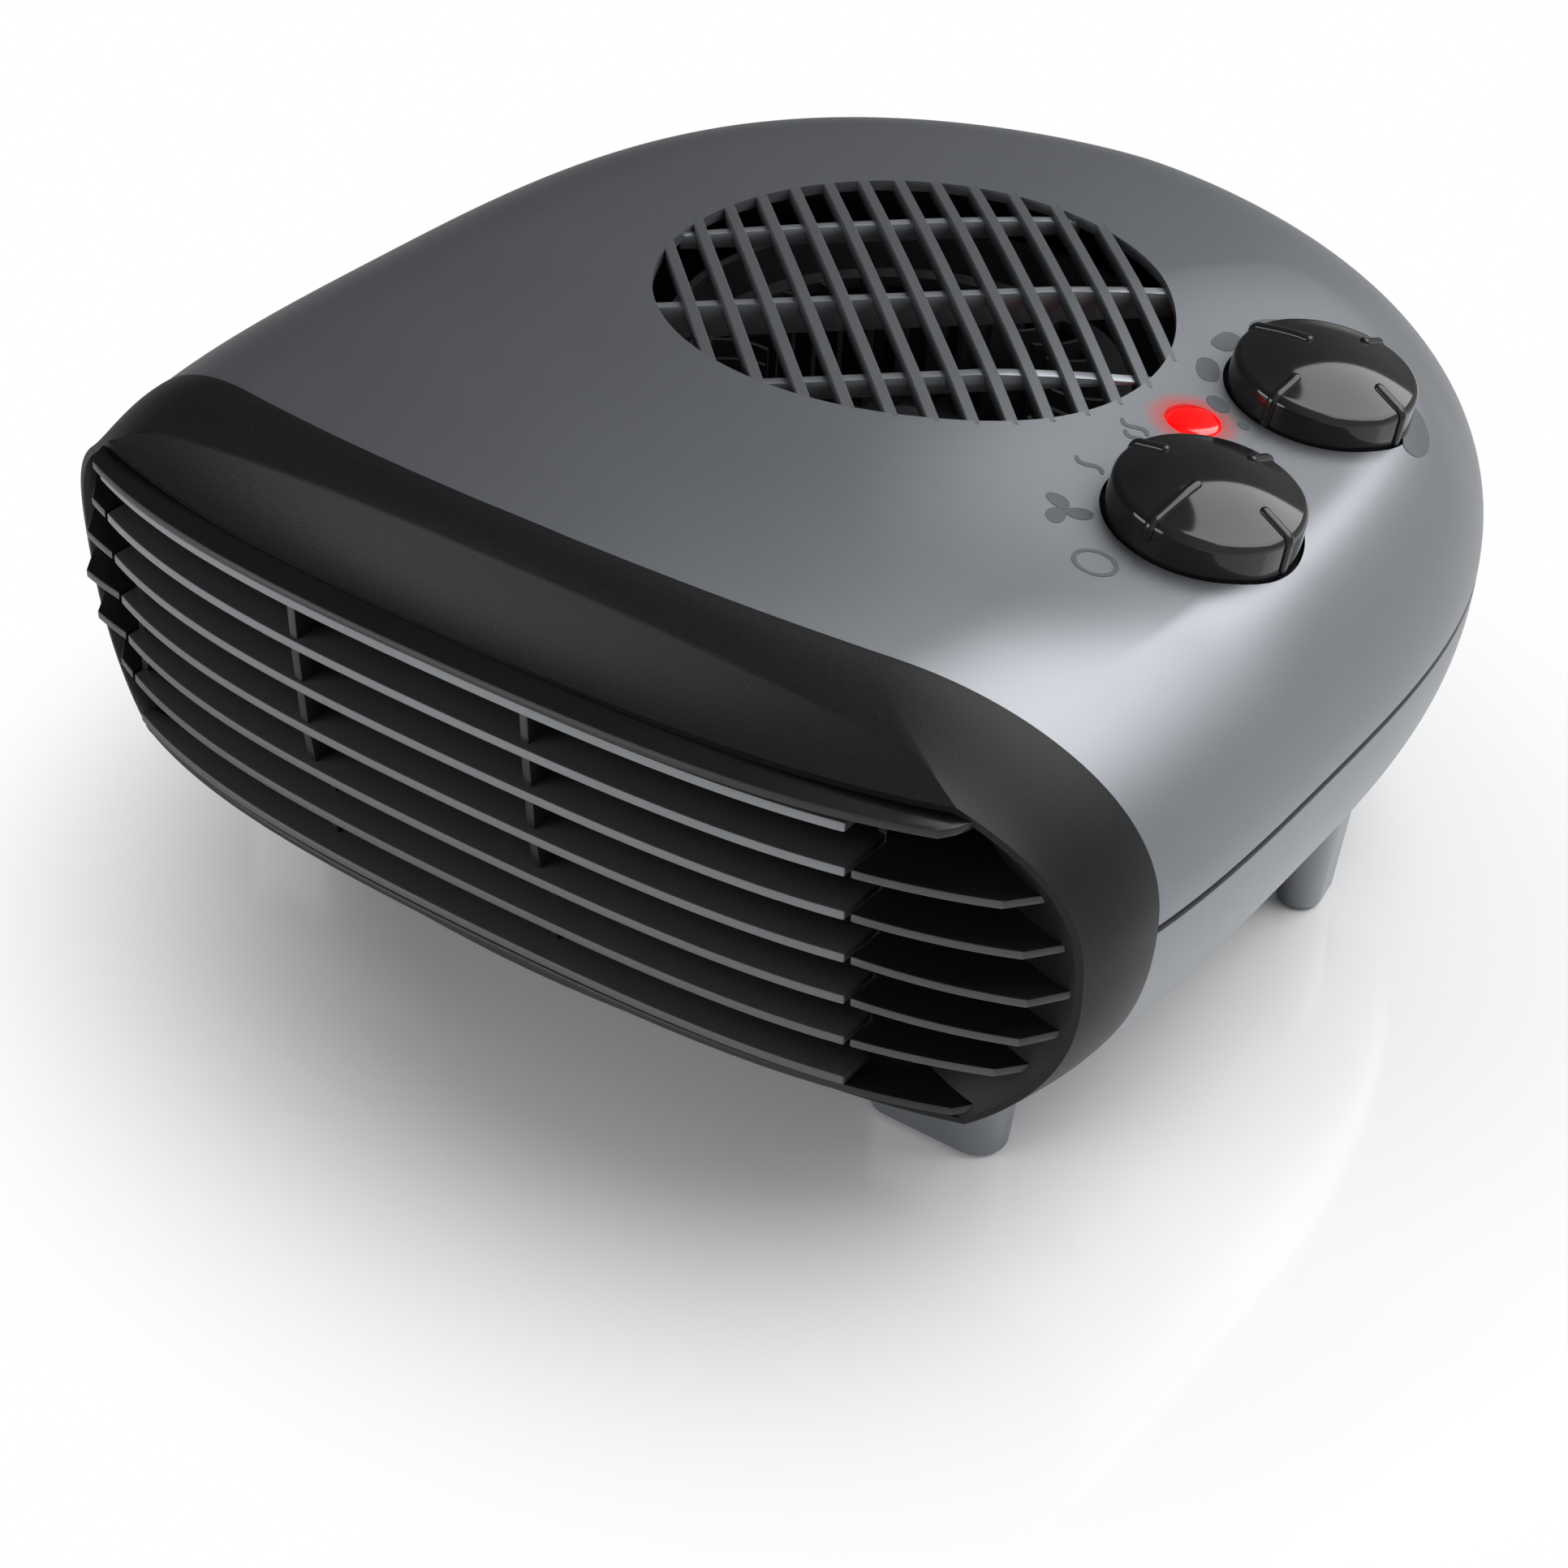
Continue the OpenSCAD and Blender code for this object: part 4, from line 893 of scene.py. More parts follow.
class FrontSettings(bpy.types.PropertyGroup):
    bezel_color: colour("Bezel colour", "Colour of the black bezel", (0.0085, 0.009, 0.0098))
    bezel_rough: share("Bezel roughness", "How matt the bezel is", 0.46)
    slat_color: colour("Slat colour", "Colour of the outlet slats", (0.011, 0.0115, 0.0125))
    # Painted light on the slats' front faces
    slat_front_light: colour("Slat front colour", "Colour of the slats' front faces", (0.23, 0.238, 0.248))
    fin_color: colour("Fin colour", "Colour of the fins beside the slats", (0.007, 0.0075, 0.008))
    # Painted light on the fins' and lips' front faces
    fin_front_light: colour("Fin front colour", "Colour of the fins' and lips' front faces", (0.07, 0.073, 0.077))
    edge: length("Edge rounding", "Rounding of slat and fin edges", 0.00035)


class GrilleSettings(bpy.types.PropertyGroup):
    bars: number("Bars", "Bars across the round grille", 13, 9, 15, IntProperty)
    pitch: length("Bar spacing", "Distance from bar to bar", 0.0081)
    width: length("Bar width", "Width of each bar", 0.0026)
    depth: length("Bar depth", "Depth of each bar", 0.0034)


class KnobSettings(bpy.types.PropertyGroup):
    knob_color: colour("Knob colour", "Colour of both knobs", (0.011, 0.0115, 0.012))
    lens_color: colour("Lens colour", "Colour of the lamp's lens", (0.72, 0.0, 0.0))
    glow: number("Lens glow", "Strength of the light from the lens", 1.1, 0.0, 10.0)


class StageSettings(bpy.types.PropertyGroup):
    floor_color: colour("Floor colour", "Colour of the pale floor", (0.86, 0.865, 0.87))
    key: number("Key lamp", "Power of the large lamp", 21.0, 0.0, 200.0)
    fill: number("Fill lamp", "Power of the softer lamp", 7.0, 0.0, 200.0)
    lens_mm: number("Camera lens", "Focal length in millimetres on a 36 mm frame", 74.05, 20.0, 200.0)


def settings(name):
    return getattr(bpy.context.scene, name)


# Shared shape work


def seam_block(gap):
    """The space behind the seam, which trims both shells."""
    x = np.linspace(-136.0, 136.0, 137)
    front = np.stack([x, seam(x) + gap], axis=-1)
    return prism("seam_block", np.concatenate([front, [[136.0, 170.0], [-136.0, 170.0]]]), -2.0, 140.0)


def disc_points(radius, n=160, center=(0.0, 0.0)):
    return np.asarray(center) + radius * unit(circle(n))


def rod(name, radius, z0, z1, n=96, center=(0.0, 0.0)):
    return prism(name, disc_points(radius, n, center), z0, z1)


class TopSurface:
    """Height of the shell's top at any place: the nearest point of a dense sample, then its tangent plane."""

    def __init__(self):
        loops = np.array(top_loops(0.0, 0, 260, 90, 90))
        normal = np.cross(np.gradient(loops, axis=1), np.gradient(loops, axis=0))
        normal /= np.linalg.norm(normal, axis=-1, keepdims=True) + 1e-12
        normal *= np.sign(normal[..., 2:3] + 1e-9)
        self.points = loops.reshape(-1, 3)
        self.normals = normal.reshape(-1, 3)

    def at(self, xy):
        """Heights and normals over many places, found for 400 of them at a time."""
        out, nor = np.empty(len(xy)), np.empty((len(xy), 3))
        for k in range(0, len(xy), 400):
            part = xy[k : k + 400]
            away = part[:, None, :] - self.points[None, :, :2]
            best = np.argmin(away[..., 0] ** 2 + away[..., 1] ** 2, axis=1)
            p, n = self.points[best], self.normals[best]
            step = part - p[:, :2]
            slope = (n[:, 0] * step[:, 0] + n[:, 1] * step[:, 1]) / np.maximum(n[:, 2], 0.2)
            out[k : k + 400] = p[:, 2] - slope
            nor[k : k + 400] = n
        return out, nor


@functools.cache
def top_surface():
    return TopSurface()


def printed(name, xy, faces):
    """A thin closed patch of ink that lies on the shell's top: its points are lifted along the surface."""
    z, n = top_surface().at(xy)
    base = np.column_stack([xy, z])
    count = len(base)
    pts = np.concatenate([base - n * 0.15, base + n * (settings("heater_housing").mark_t / MM)])
    edges = np.concatenate([faces[:, [k, (k + 1) % 4]] for k in range(4)])
    _, inverse, counts = np.unique(np.sort(edges, axis=1), axis=0, return_inverse=True, return_counts=True)
    a, b = edges[(counts[inverse.ravel()] == 1) & (edges[:, 0] != edges[:, 1])].T
    side = np.stack([a, b, b + count, a + count], axis=-1)
    return make_mesh(name, pts, np.concatenate([faces[:, ::-1], faces + count, side]))


def ribbon_patch(line, widths, closed=False):
    """A flat strip along a line: points to both sides of it, at half its width along the line's normal."""
    if closed:
        tangent = np.roll(line, -1, axis=0) - np.roll(line, 1, axis=0)
    else:
        tangent = np.gradient(line, axis=0)
    tangent /= np.linalg.norm(tangent, axis=1, keepdims=True)
    normal = np.stack([-tangent[:, 1], tangent[:, 0]], axis=-1)
    across = np.linspace(-0.5, 0.5, 5)[None, :, None] * np.asarray(widths).reshape(-1, 1, 1)
    pts = line[:, None, :] - normal[:, None, :] * across
    return pts.reshape(-1, 2), grid_faces(len(line), 5, wrap_rows=closed)[:, ::-1]


def turned(p, degrees):
    """Flat points turned round the origin."""
    c, s = unit(rad(degrees))
    return p @ np.array([[c, s], [-s, c]])


def blob_patch(center, size, turn, power=2.3, bend=0.0, n=56, rows=10):
    """A filled superellipse, bent along its length by a parabola and turned."""
    ways = unit(circle(n))
    edge = np.sign(ways) * np.abs(ways) ** (2 / power)
    f = np.linspace(0.04, 1.0, rows)[:, None, None]
    p = (edge * f * (np.asarray(size) / 2.0)).reshape(-1, 2)
    p[:, 1] += bend * (p[:, 0] / (size[0] / 2.0)) ** 2
    p = turned(p, turn) + np.asarray(center)
    p = np.concatenate([p, [p[:n].mean(axis=0)]])
    i = np.arange(n)
    fan = np.stack([np.full(n, len(p) - 1), i, (i + 1) % n, (i + 1) % n], axis=-1)
    return p, np.concatenate([grid_faces(rows, n, wrap_cols=True), fan])


def blade_mesh(name, outline_xy, z, t):
    return prism(name, outline_xy, z - t / 2.0, z + t / 2.0)


def blades(name, parts, material, slot, node):
    """One piece from several flat blades, with rounded edges and its front faces marked for painted light."""
    obj = new_object(name, join(name, parts))
    bevel(obj, settings("heater_front").edge / MM)
    mark_front(obj)
    finish_piece(obj, material, slot, node)


def slat_y(k):
    """Front line of slat k at the middle."""
    return SEAM_Y - FRONT_RUN + 3.8 + SLAT_RAKE * k


class HEATER_OT_shells(bpy.types.Operator):
    """Upper and lower shell with their openings, wells and feet, and black pieces of painted shade in the
    knob wells and in the groove between the shells
    """

    bl_idname = "heater.shells"
    bl_label = "Shells"

    def execute(self, context):
        s = settings("heater_housing")
        silver = silver_finish("satin_silver_plastic", s.shell_color, s.shell_rough, LENS_AT)
        # A black of painted shade, for the knob wells and the groove between the shells
        dark = grained_black("painted_shade_black", (0.012, 0.012, 0.013), 0.55)
        self.upper(s.steps, silver, dark)
        self.lower(s.steps, silver, dark)
        return {"FINISHED"}

    @staticmethod
    def shell(name, loops, hollow, cutters, material, node):
        """A hollow shell that ends at the seam, with its openings cut."""
        obj = new_object(name, stack_mesh(name, loops))
        boolean(obj, [stack_mesh("hollow", hollow)])
        boolean(obj, [seam_block(0.0)], "INTERSECT")
        boolean(obj, cutters)
        soften(obj)
        finish_piece(obj, material, "silver_shell", node)

    def upper(self, n, silver, dark):
        wells = [knob_frame(at) for at in (KNOB_A, KNOB_B)]
        cutters = [
            block("base", (-200, -200, SPLIT - 12), (200, 200, SPLIT + GROOVE / 2)),
            rod("grille_hole", INLET_D / 2, 100, 140, 220, INLET),
            rod("lens_hole", LENS_D / 2 + 0.15, 100, 140, 96, LENS_AT[:2]),
        ]
        cutters += [place(rod("well", WELL_R, -3.2, 30, 160), well) for well in wells]
        body, hollow = top_loops(SKIN, 0, n), top_loops(WALL, OVERLAP, *COARSE)
        self.shell("upper_shell_skin", body, hollow, cutters, silver, "upper_shell")
        # Black cups line the knob wells: painted shade in the wells
        wall = [(0.9, -2.7), (0.9, 6.2), (0.45, 6.6), (0.0, 6.2), (0.0, 0.2), (-0.7, -0.5)]
        profile = [(AXIS, -2.7), *((WELL_R + out, z) for out, z in wall)]
        profile += [(5.4, -0.5), (5.4, -2.4), (AXIS, -2.4)]
        cups = [place(lathe("well_cup", profile), well) for well in wells]
        cup = new_object("knob_wells", join("knob_wells", cups))
        boolean(cup, [stack_mesh("trim", top_loops(0.25, OVERLAP, *MEDIUM))], "INTERSECT")
        soften(cup)
        finish_piece(cup, dark, "black_bezel", "upper_shell")

    def lower(self, n, silver, dark):
        cutters = [block("above", (-200, -200, SPLIT - GROOVE / 2), (200, 200, SPLIT + 20))]
        cutters += [rod("screw_well", 4.3, 5, SPLIT - 10, 64, at) for at in SCREWS]
        half = unit(rad(np.linspace(-90.0, 90.0, 25)))
        pocket = POCKET + np.concatenate([half * 7.0, half[::-1] * 3.5])
        for side in (-1, 1):
            for y in SLOT_FROM + SLOT_PITCH * np.arange(SLOTS):
                low, high = (SLOT_X * side - 5, y - SLOT_HALF, 10), (SLOT_X * side + 5, y + SLOT_HALF, 32)
                cutters.append(block("slot", low, high))
            cutters.append(prism("pocket", (pocket * (side, 1.0))[::side], 10, 36))
        for y in VENT_FROM + VENT_PITCH * np.arange(VENTS):
            cutters.append(block("vent", (-20, y, 10), (20, y + VENT_WIDTH, 23)))
        inlet = upright((0, BACK_Y, CORD_Z)) @ spin(-90, "X")
        cutters.append(place(rod("cord_hole", 5.6, -30, 40, 64), inlet))
        body, hollow = low_loops(SKIN, 0, n), low_loops(WALL, OVERLAP, *COARSE)
        self.shell("lower_shell_skin", body, hollow, cutters, silver, "lower_shell")
        feet = []
        for side in (-1, 1):
            feet.append(self.foot(side, FRONT_FOOT, 0.0, 36.0, 18.0, 31.0))
            feet.append(self.foot(side, REAR_FOOT, -82.0, 22.0, 15.0, 36.0))
        foot = new_object("feet", join("feet", feet))
        boolean(foot, [stack_mesh("inside", low_loops(1.2, OVERLAP, *COARSE))])
        pads = [(side * x, y) for side in (-1, 1) for x, y in PADS]
        boolean(foot, [rod("pad_hole", 4.7, -1.0, 2.0, 64, at) for at in pads])
        soften(foot, 34.0)
        finish_piece(foot, silver, "silver_shell", "lower_shell")
        # A black band behind the groove between the shells: painted shade in the groove
        outer, inner = ring(WALL + 0.25, n), ring(WALL + 1.9, n)
        low, high = SPLIT - 4.6, SPLIT + 2.9
        loops = [lift(outer, low), lift(outer, high), lift(inner, high), lift(inner, low)]
        faces = grid_faces(4, 2 * n + 1, wrap_rows=True, wrap_cols=True)
        band = new_object("painted_groove_shade", make_mesh("band", np.concatenate(loops), faces))
        boolean(band, [seam_block(1.0)], "INTERSECT")
        soften(band)
        finish_piece(band, dark, "silver_shell", "lower_shell")

    @staticmethod
    def foot(side, at, turn, length, width, height):
        """A tapered oblong, two half circles joined by straights, with a soft lower edge."""
        ways = unit(circle(64))
        shift = np.where(ways[:, :1] >= 0, 1.0, -1.0) * (length - width) / 2 * (1.0, 0.0)
        steps = ((0.6, 3.1), (0.75, 2.75), (1.2, 2.5), (height, 0.0))
        loops = [lift(shift + ways * (width / 2 - back), z) for z, back in steps]
        return place(tube("foot", loops), upright((side * at[0], at[1], 0)) @ spin(side * turn))


class HEATER_OT_bezel(bpy.types.Operator):
    """Black front bezel with its hollowed hood, dished mouth, lips and side fins"""

    bl_idname = "heater.bezel"
    bl_label = "Front bezel"
    fin_start = ((110.3, -29.6), (114.5, -27.9), (116.2, -27.6), (115.0, -26.6), (110.1, -25.6))
    fin_tip = ((116.2, -22.3), (120.2, -20.2), (122.1, -19.0), (120.3, -18.7), (114.9, -19.7))

    def execute(self, context):
        s = settings("heater_front")
        black = grained_black("bezel_black", s.bezel_color, s.bezel_rough)
        n = 640
        i = np.arange(n) / n
        loops = [skin(i, v, 0.0) for v in (*np.linspace(0.0, 0.5, 22), *np.linspace(0.5, 1.0, 26)[1:])]
        loops += [dish(i, v) for v in np.linspace(0.0, 1.0, 16)]
        loops += [dish_back(i, v) for v in (1.0, 0.7, 0.35)]
        loops += [skin(i, v, WALL) for v in (0.5, 0.25, 0.0)]
        faces = grid_faces(len(loops), n, wrap_rows=True, wrap_cols=True)
        obj = new_object("bezel_hood", make_mesh("bezel_hood", np.concatenate(loops), faces[:, ::-1]))
        soften(obj, 30.0)
        finish_piece(obj, black, "black_bezel", "front_bezel")
        # Fins and lips with painted light on their front faces, dimmer on the lips
        self.fins(plastic_with_painted_light("fins_painted_light", s.fin_color, s.fin_front_light, 0.3))
        self.lips(plastic_with_painted_light("lips_painted_light", s.fin_color, shade(s.fin_front_light, 0.35), 0.3))
        return {"FINISHED"}

    def fins(self, material):
        parts = []
        for k, ((x1, y1), (x2, y2)) in enumerate(zip(self.fin_start, self.fin_tip)):
            for side in (1, -1):
                x0 = SLAT_HALF + side * SLAT_MID + 1.1
                y0 = slat_y(k + 1)
                f = np.linspace(0.0, 1.0, 12)
                x = x0 + (x1 - x0) * f
                dy = SEAM_Y + y1 - y0 - bow(x1)
                line = np.stack([x, y0 + bow(x) + dy * f], axis=-1)
                tail = [(x2, y2), (x2 + 0.5, y2 + 1.2), (x2 - 6.0, -13.0), (x0, -3.0)]
                line = np.concatenate([line, [(a, SEAM_Y + b) for a, b in tail]])
                line = (line * (side, 1.0))[::side]
                parts.append(blade_mesh("fin", line, SLAT_TOP - SLAT_PITCH * (k + 1), FIN_T))
        blades("side_fins", parts, material, "black_bezel", "front_bezel")

    def lips(self, material):
        parts = []
        for x1, y1, set_back, z, deep, side in (
            (100.6, -37.5, 0.0, 101.2, 13.0, [(102.6, -34.6), (103.8, -31.5), (104.0, -18), (92, -10)]),
            (102.8, -27.0, 9.4, 32.0, 12.5, [(108.1, -20), (109.6, -17.0), (109, -9), (92, -8)]),
        ):
            y0 = SEAM_Y - FRONT_RUN + set_back
            f = (SEAM_Y + y1 - y0) / bow(x1)
            u, v = np.linspace(-1.0, 1.0, 81) * x1, np.linspace(1.0, -1.0, 41) * 88
            front = np.stack([u, y0 + f * bow(u)], axis=-1)
            back = np.stack([v, y0 + deep + f * bow(v)], axis=-1)
            right = np.array(side) + (0.0, SEAM_Y)
            left = right[::-1] * (-1.0, 1.0)
            parts.append(blade_mesh("lip", np.concatenate([front, right, back, left]), z, FIN_T))
        blades("mouth_lips", parts, material, "black_bezel", "front_bezel")


class HEATER_OT_slats(bpy.types.Operator):
    """Bowed outlet slats with their ribs, side plates and back frame"""

    bl_idname = "heater.slats"
    bl_label = "Outlet slats"

    def execute(self, context):
        s = settings("heater_front")
        # Slats with painted light on their fronts, and painted shade on their tops and lower fronts
        lit = plastic_with_painted_light("slats_painted_light", s.slat_color, s.slat_front_light, 0.4, shade(s.slat_front_light, 0.2))
        x = SLAT_MID + np.linspace(-1.0, 1.0, 81) * SLAT_HALF
        back = [(SLAT_MID + side * SLAT_HALF, SEAM_Y - 25) for side in (1, -1)]
        parts = []
        for k in range(SLATS):
            line = np.concatenate([np.stack([x, slat_y(k) + bow(x)], axis=-1), back])
            parts.append(blade_mesh("slat", line, SLAT_TOP - SLAT_PITCH * k, SLAT_T))
        blades("outlet_slats", parts, lit, "graphite_slats", "outlet_grille")
        graphite = smooth_plastic("graphite_slats", s.slat_color, 0.4)
        low = SLAT_TOP - (SLATS - 1) * SLAT_PITCH
        self.ribs(graphite, low)
        self.frame(graphite, low)
        return {"FINISHED"}

    @staticmethod
    def ribs(graphite, low):
        """Two upright ribs with their posts, and the plates that end the slats."""
        side = [(-39.6, 1.6), (-41.6, 12), (-43.4, 30), (-44.2, 43), (-29, 43), (-29, 0), (-34, 0)]
        z0 = SLAT_TOP - 4 * SLAT_PITCH - 2.4
        ribs = []
        for x in (-42.5, 14.5):
            ribs.append(tube("rib", [[(x + w, SEAM_Y + a, z0 + b) for a, b in side] for w in (-1.0, 1.0)]))
            near, far = (x - 0.9, SEAM_Y - 34.5, low - 0.5), (x + 0.9, SEAM_Y - 25.5, SLAT_TOP + 0.5)
            ribs.append(block("post", near, far))
        for x in (SLAT_MID - SLAT_HALF - 0.3, SLAT_MID + SLAT_HALF - 1.5):
            near, far = (x, SEAM_Y - 26.0, low + 6.0), (x + 1.8, SEAM_Y - 2.0, SLAT_TOP - 2.0)
            ribs.append(block("plate", near, far))
        obj = new_object("slat_ribs", join("slat_ribs", ribs))
        bevel(obj, 0.25)
        finish_piece(obj, graphite, "graphite_slats", "outlet_grille")

    @staticmethod
    def frame(graphite, low):
        """The plate with cut corners behind the slats, and its window."""
        x0, x1 = SLAT_MID - SLAT_HALF - 4, SLAT_MID + SLAT_HALF + 4
        z0, z1, c = 30.6, 106.6, 5.0
        outer = [(x0 + c, z0), (x1 - c, z0), (x1, z0 + c), (x1, z1 - c)]
        outer += [(x1 - c, z1), (x0 + c, z1), (x0, z1 - c), (x0, z0 + c)]
        plate = place(prism("frame_plate", outer, 0, 2.0), upright((0, SEAM_Y - 0.5, 0)) @ spin(90, "X"))
        obj = new_object("slat_back_frame", plate)
        boolean(obj, [block("window", (x0 + 5.6, SEAM_Y - 6, low), (x1 - 5.6, SEAM_Y + 3, SLAT_TOP))])
        soften(obj)
        finish_piece(obj, graphite, "graphite_slats", "outlet_grille")


class HEATER_OT_top_grille(bpy.types.Operator):
    """Bars and cross ribs of the round grille in the top"""

    bl_idname = "heater.top_grille"
    bl_label = "Top grille"

    def execute(self, context):
        s, h = settings("heater_grille"), settings("heater_housing")
        silver = silver_finish("grille_silver", shade(h.shell_color, 0.9), h.shell_rough)
        half, depth = s.width / MM / 2, s.depth / MM
        along, across = unit(rad(-45.0)), unit(rad(45.0))
        # Half of a bar's section, from the middle of its top down: a small chamfer and a draft
        right = [(half - 0.25, 0.0), (half, -0.25), (half - 0.2, -depth)]
        shape = np.array([(-right[0][0], 0.0), *right, (-right[2][0], -depth), (-half, -0.25)])
        parts = []
        for k in range(s.bars):
            off = (k - (s.bars - 1) / 2) * s.pitch / MM
            reach = np.sqrt(max(0.0, (INLET_D / 2 + 1.2) ** 2 - off**2))
            mid = INLET + np.linspace(-reach, reach, 48)[:, None] * along + off * across
            z, _ = top_surface().at(mid)
            pts = np.empty((len(mid), len(shape), 3))
            pts[..., :2] = mid[:, None, :] + shape[None, :, :1] * across
            pts[..., 2] = z[:, None] - 0.05 + shape[None, :, 1]
            parts.append(tube("bar", pts))
        obj = new_object("top_grille_bars", join("top_grille_bars", parts))
        recalc(obj.data)
        soften(obj, 35.0)
        finish_piece(obj, silver, "silver_shell", "upper_shell")
        ribs = []
        for off, high in ((-35, 4.0), (0, 7.2), (35, 4.0)):
            reach = np.sqrt((INLET_D / 2 + 1.4) ** 2 - off**2)
            rib = block("cross_rib", (-reach, off - 1.2, 0), (reach, off + 1.2, high))
            ribs.append(place(rib, upright((*INLET, TOP_MID - 2.2 - high)) @ spin(45)))
        rib_obj = new_object("top_grille_ribs", join("top_grille_ribs", ribs))
        boolean(rib_obj, [stack_mesh("trim", top_loops(1.4, 8.0, *MEDIUM))], "INTERSECT")
        bevel(rib_obj, 0.3)
        # The cross ribs get a paler copy of the shell colour: painted light on them
        pale = silver_finish("rib_silver_painted_light", shade(h.shell_color, 1.5), h.shell_rough)
        finish_piece(rib_obj, pale, "silver_shell", "upper_shell")
        return {"FINISHED"}


def recalc(mesh):
    """Turns every face of a closed mesh outwards."""
    work = bmesh.new()
    work.from_mesh(mesh)
    bmesh.ops.recalc_face_normals(work, faces=work.faces)
    work.to_mesh(mesh)
    work.free()


def knob_height(r):
    """Height of a knob's top at radius r: a dome that falls with the square."""
    return KNOB_SKIRT + KNOB_DOME * (1.0 - (r / (KNOB_R - 2.0)) ** 2)


class HEATER_OT_knobs(bpy.types.Operator):
    """Two gloss black domed knobs, each with four slim ridges, one of them longer as its pointer"""

    bl_idname = "heater.knobs"
    bl_label = "Knobs"

    def execute(self, context):
        s = settings("heater_knobs")
        gloss = polished_black("knob_black", s.knob_color)
        for name, at, body, node, pointer in (
            ("mode_knob_cap", KNOB_A, "mode_knob_set", "mode_knob", 270),
            ("thermostat_knob_cap", KNOB_B, "thermostat_knob_set", "thermostat_knob", 180),
        ):
            parts = [self.cap()]
            for turn in (0, 90, 180, 270):
                ridge = self.ridge(5.0, 5.6) if turn == pointer else self.ridge(11.3, 2.0)
                parts.append(place(ridge, spin(turn - 8.0)))
            obj = new_object(name, place(join(name, parts), knob_frame(at)))
            soften(obj, 50.0)
            finish_piece(obj, gloss, "gloss_black", node, body=body)
        return {"FINISHED"}

    @staticmethod
    def path():
        """Outer profile from the foot up: a straight skirt, a round edge and the dome to the axis."""
        skirt = ((0.35, 0.0), (0.0, 0.35), (0.0, 2.0), (0.02, 4.0), (0.08, 6.0), (0.18, 7.6))
        skirt = [(KNOB_R - back, z) for back, z in skirt]
        edge = (KNOB_R - 2.25, 8.35) + 2.05 * unit(rad(np.linspace(0.0, 78.0, 14)))
        r1, z1 = edge[-1]
        r = np.linspace(r1 - 0.8, 0.12, 34)
        top = np.stack([r, knob_height(r) + (z1 - knob_height(r1)) * (r / r1) ** 6], axis=-1)
        return np.concatenate([skirt, edge, top])

    def cap(self):
        p = self.path()
        inside = [(AXIS, 7.4), (5.6, 7.4), (KNOB_R - 3.0, 7.0), (KNOB_R - 3.0, 0.3), (KNOB_R - 2.7, 0.0)]
        return lathe("cap", np.concatenate([inside, p, [(AXIS, p[-1, 1])]]), 192)

    def ridge(self, inner, foot):
        """A low half-round ridge swept along the profile, thinning to nothing at both ends."""
        p = self.path()[2:-1]
        p = p[(p[:, 0] >= inner) & (p[:, 1] >= foot)]
        step = np.concatenate([[0.0], np.cumsum(np.linalg.norm(np.diff(p, axis=0), axis=1))])
        d = np.linspace(0.0, step[-1], 60)
        line = np.stack([np.interp(d, step, p[:, 0]), np.interp(d, step, p[:, 1])], axis=-1)
        tangent = np.gradient(line, axis=0)
        tangent /= np.linalg.norm(tangent, axis=1, keepdims=True)
        out = np.stack([tangent[:, 1], -tangent[:, 0]], axis=-1)
        end = np.minimum(d, d[-1] - d)
        swell = np.sqrt(np.clip(1.0 - (1.0 - np.minimum(end / 1.1, 1.0)) ** 2, 0.0, 1.0))
        swell = np.maximum(swell, 0.04)[:, None]
        wide, high = (unit(rad(np.linspace(-20.0, 200.0, 15))) * (RIDGE_HALF, RIDGE_HIGH)).T
        pts = np.empty((len(d), len(wide), 3))
        pts[..., 0] = line[:, :1] + out[:, :1] * high * swell
        pts[..., 1] = wide * swell
        pts[..., 2] = line[:, 1:] + out[:, 1:] * high * swell
        mesh = tube("ridge", pts)
        recalc(mesh)
        return mesh


class HEATER_OT_lens(bpy.types.Operator):
    """Red lens of the pilot lamp"""

    bl_idname = "heater.lens"
    bl_label = "Lamp lens"

    def execute(self, context):
        s = settings("heater_knobs")
        r = LENS_D / 2
        a = 1.0 - np.linspace(0.0, 1.0, 18)[:-1]
        dome = np.stack([r * a, -0.35 + 1.05 * np.sqrt(1 - a**2)], axis=-1)
        flange = [(AXIS, -6.0), (r + 1.4, -6.0), (r + 1.4, -2.2), (r, -2.2)]
        mesh = lathe("lamp_lens_dome", np.concatenate([flange, dome, [(AXIS, 0.7)]]), 96)
        obj = new_object("lamp_lens_dome", place(mesh, upright(LENS_AT)))
        soften(obj, 40.0)
        finish_piece(obj, glowing_lens("lens_red", s.lens_color, s.glow), "red_lens", "lamp_lens")
        return {"FINISHED"}


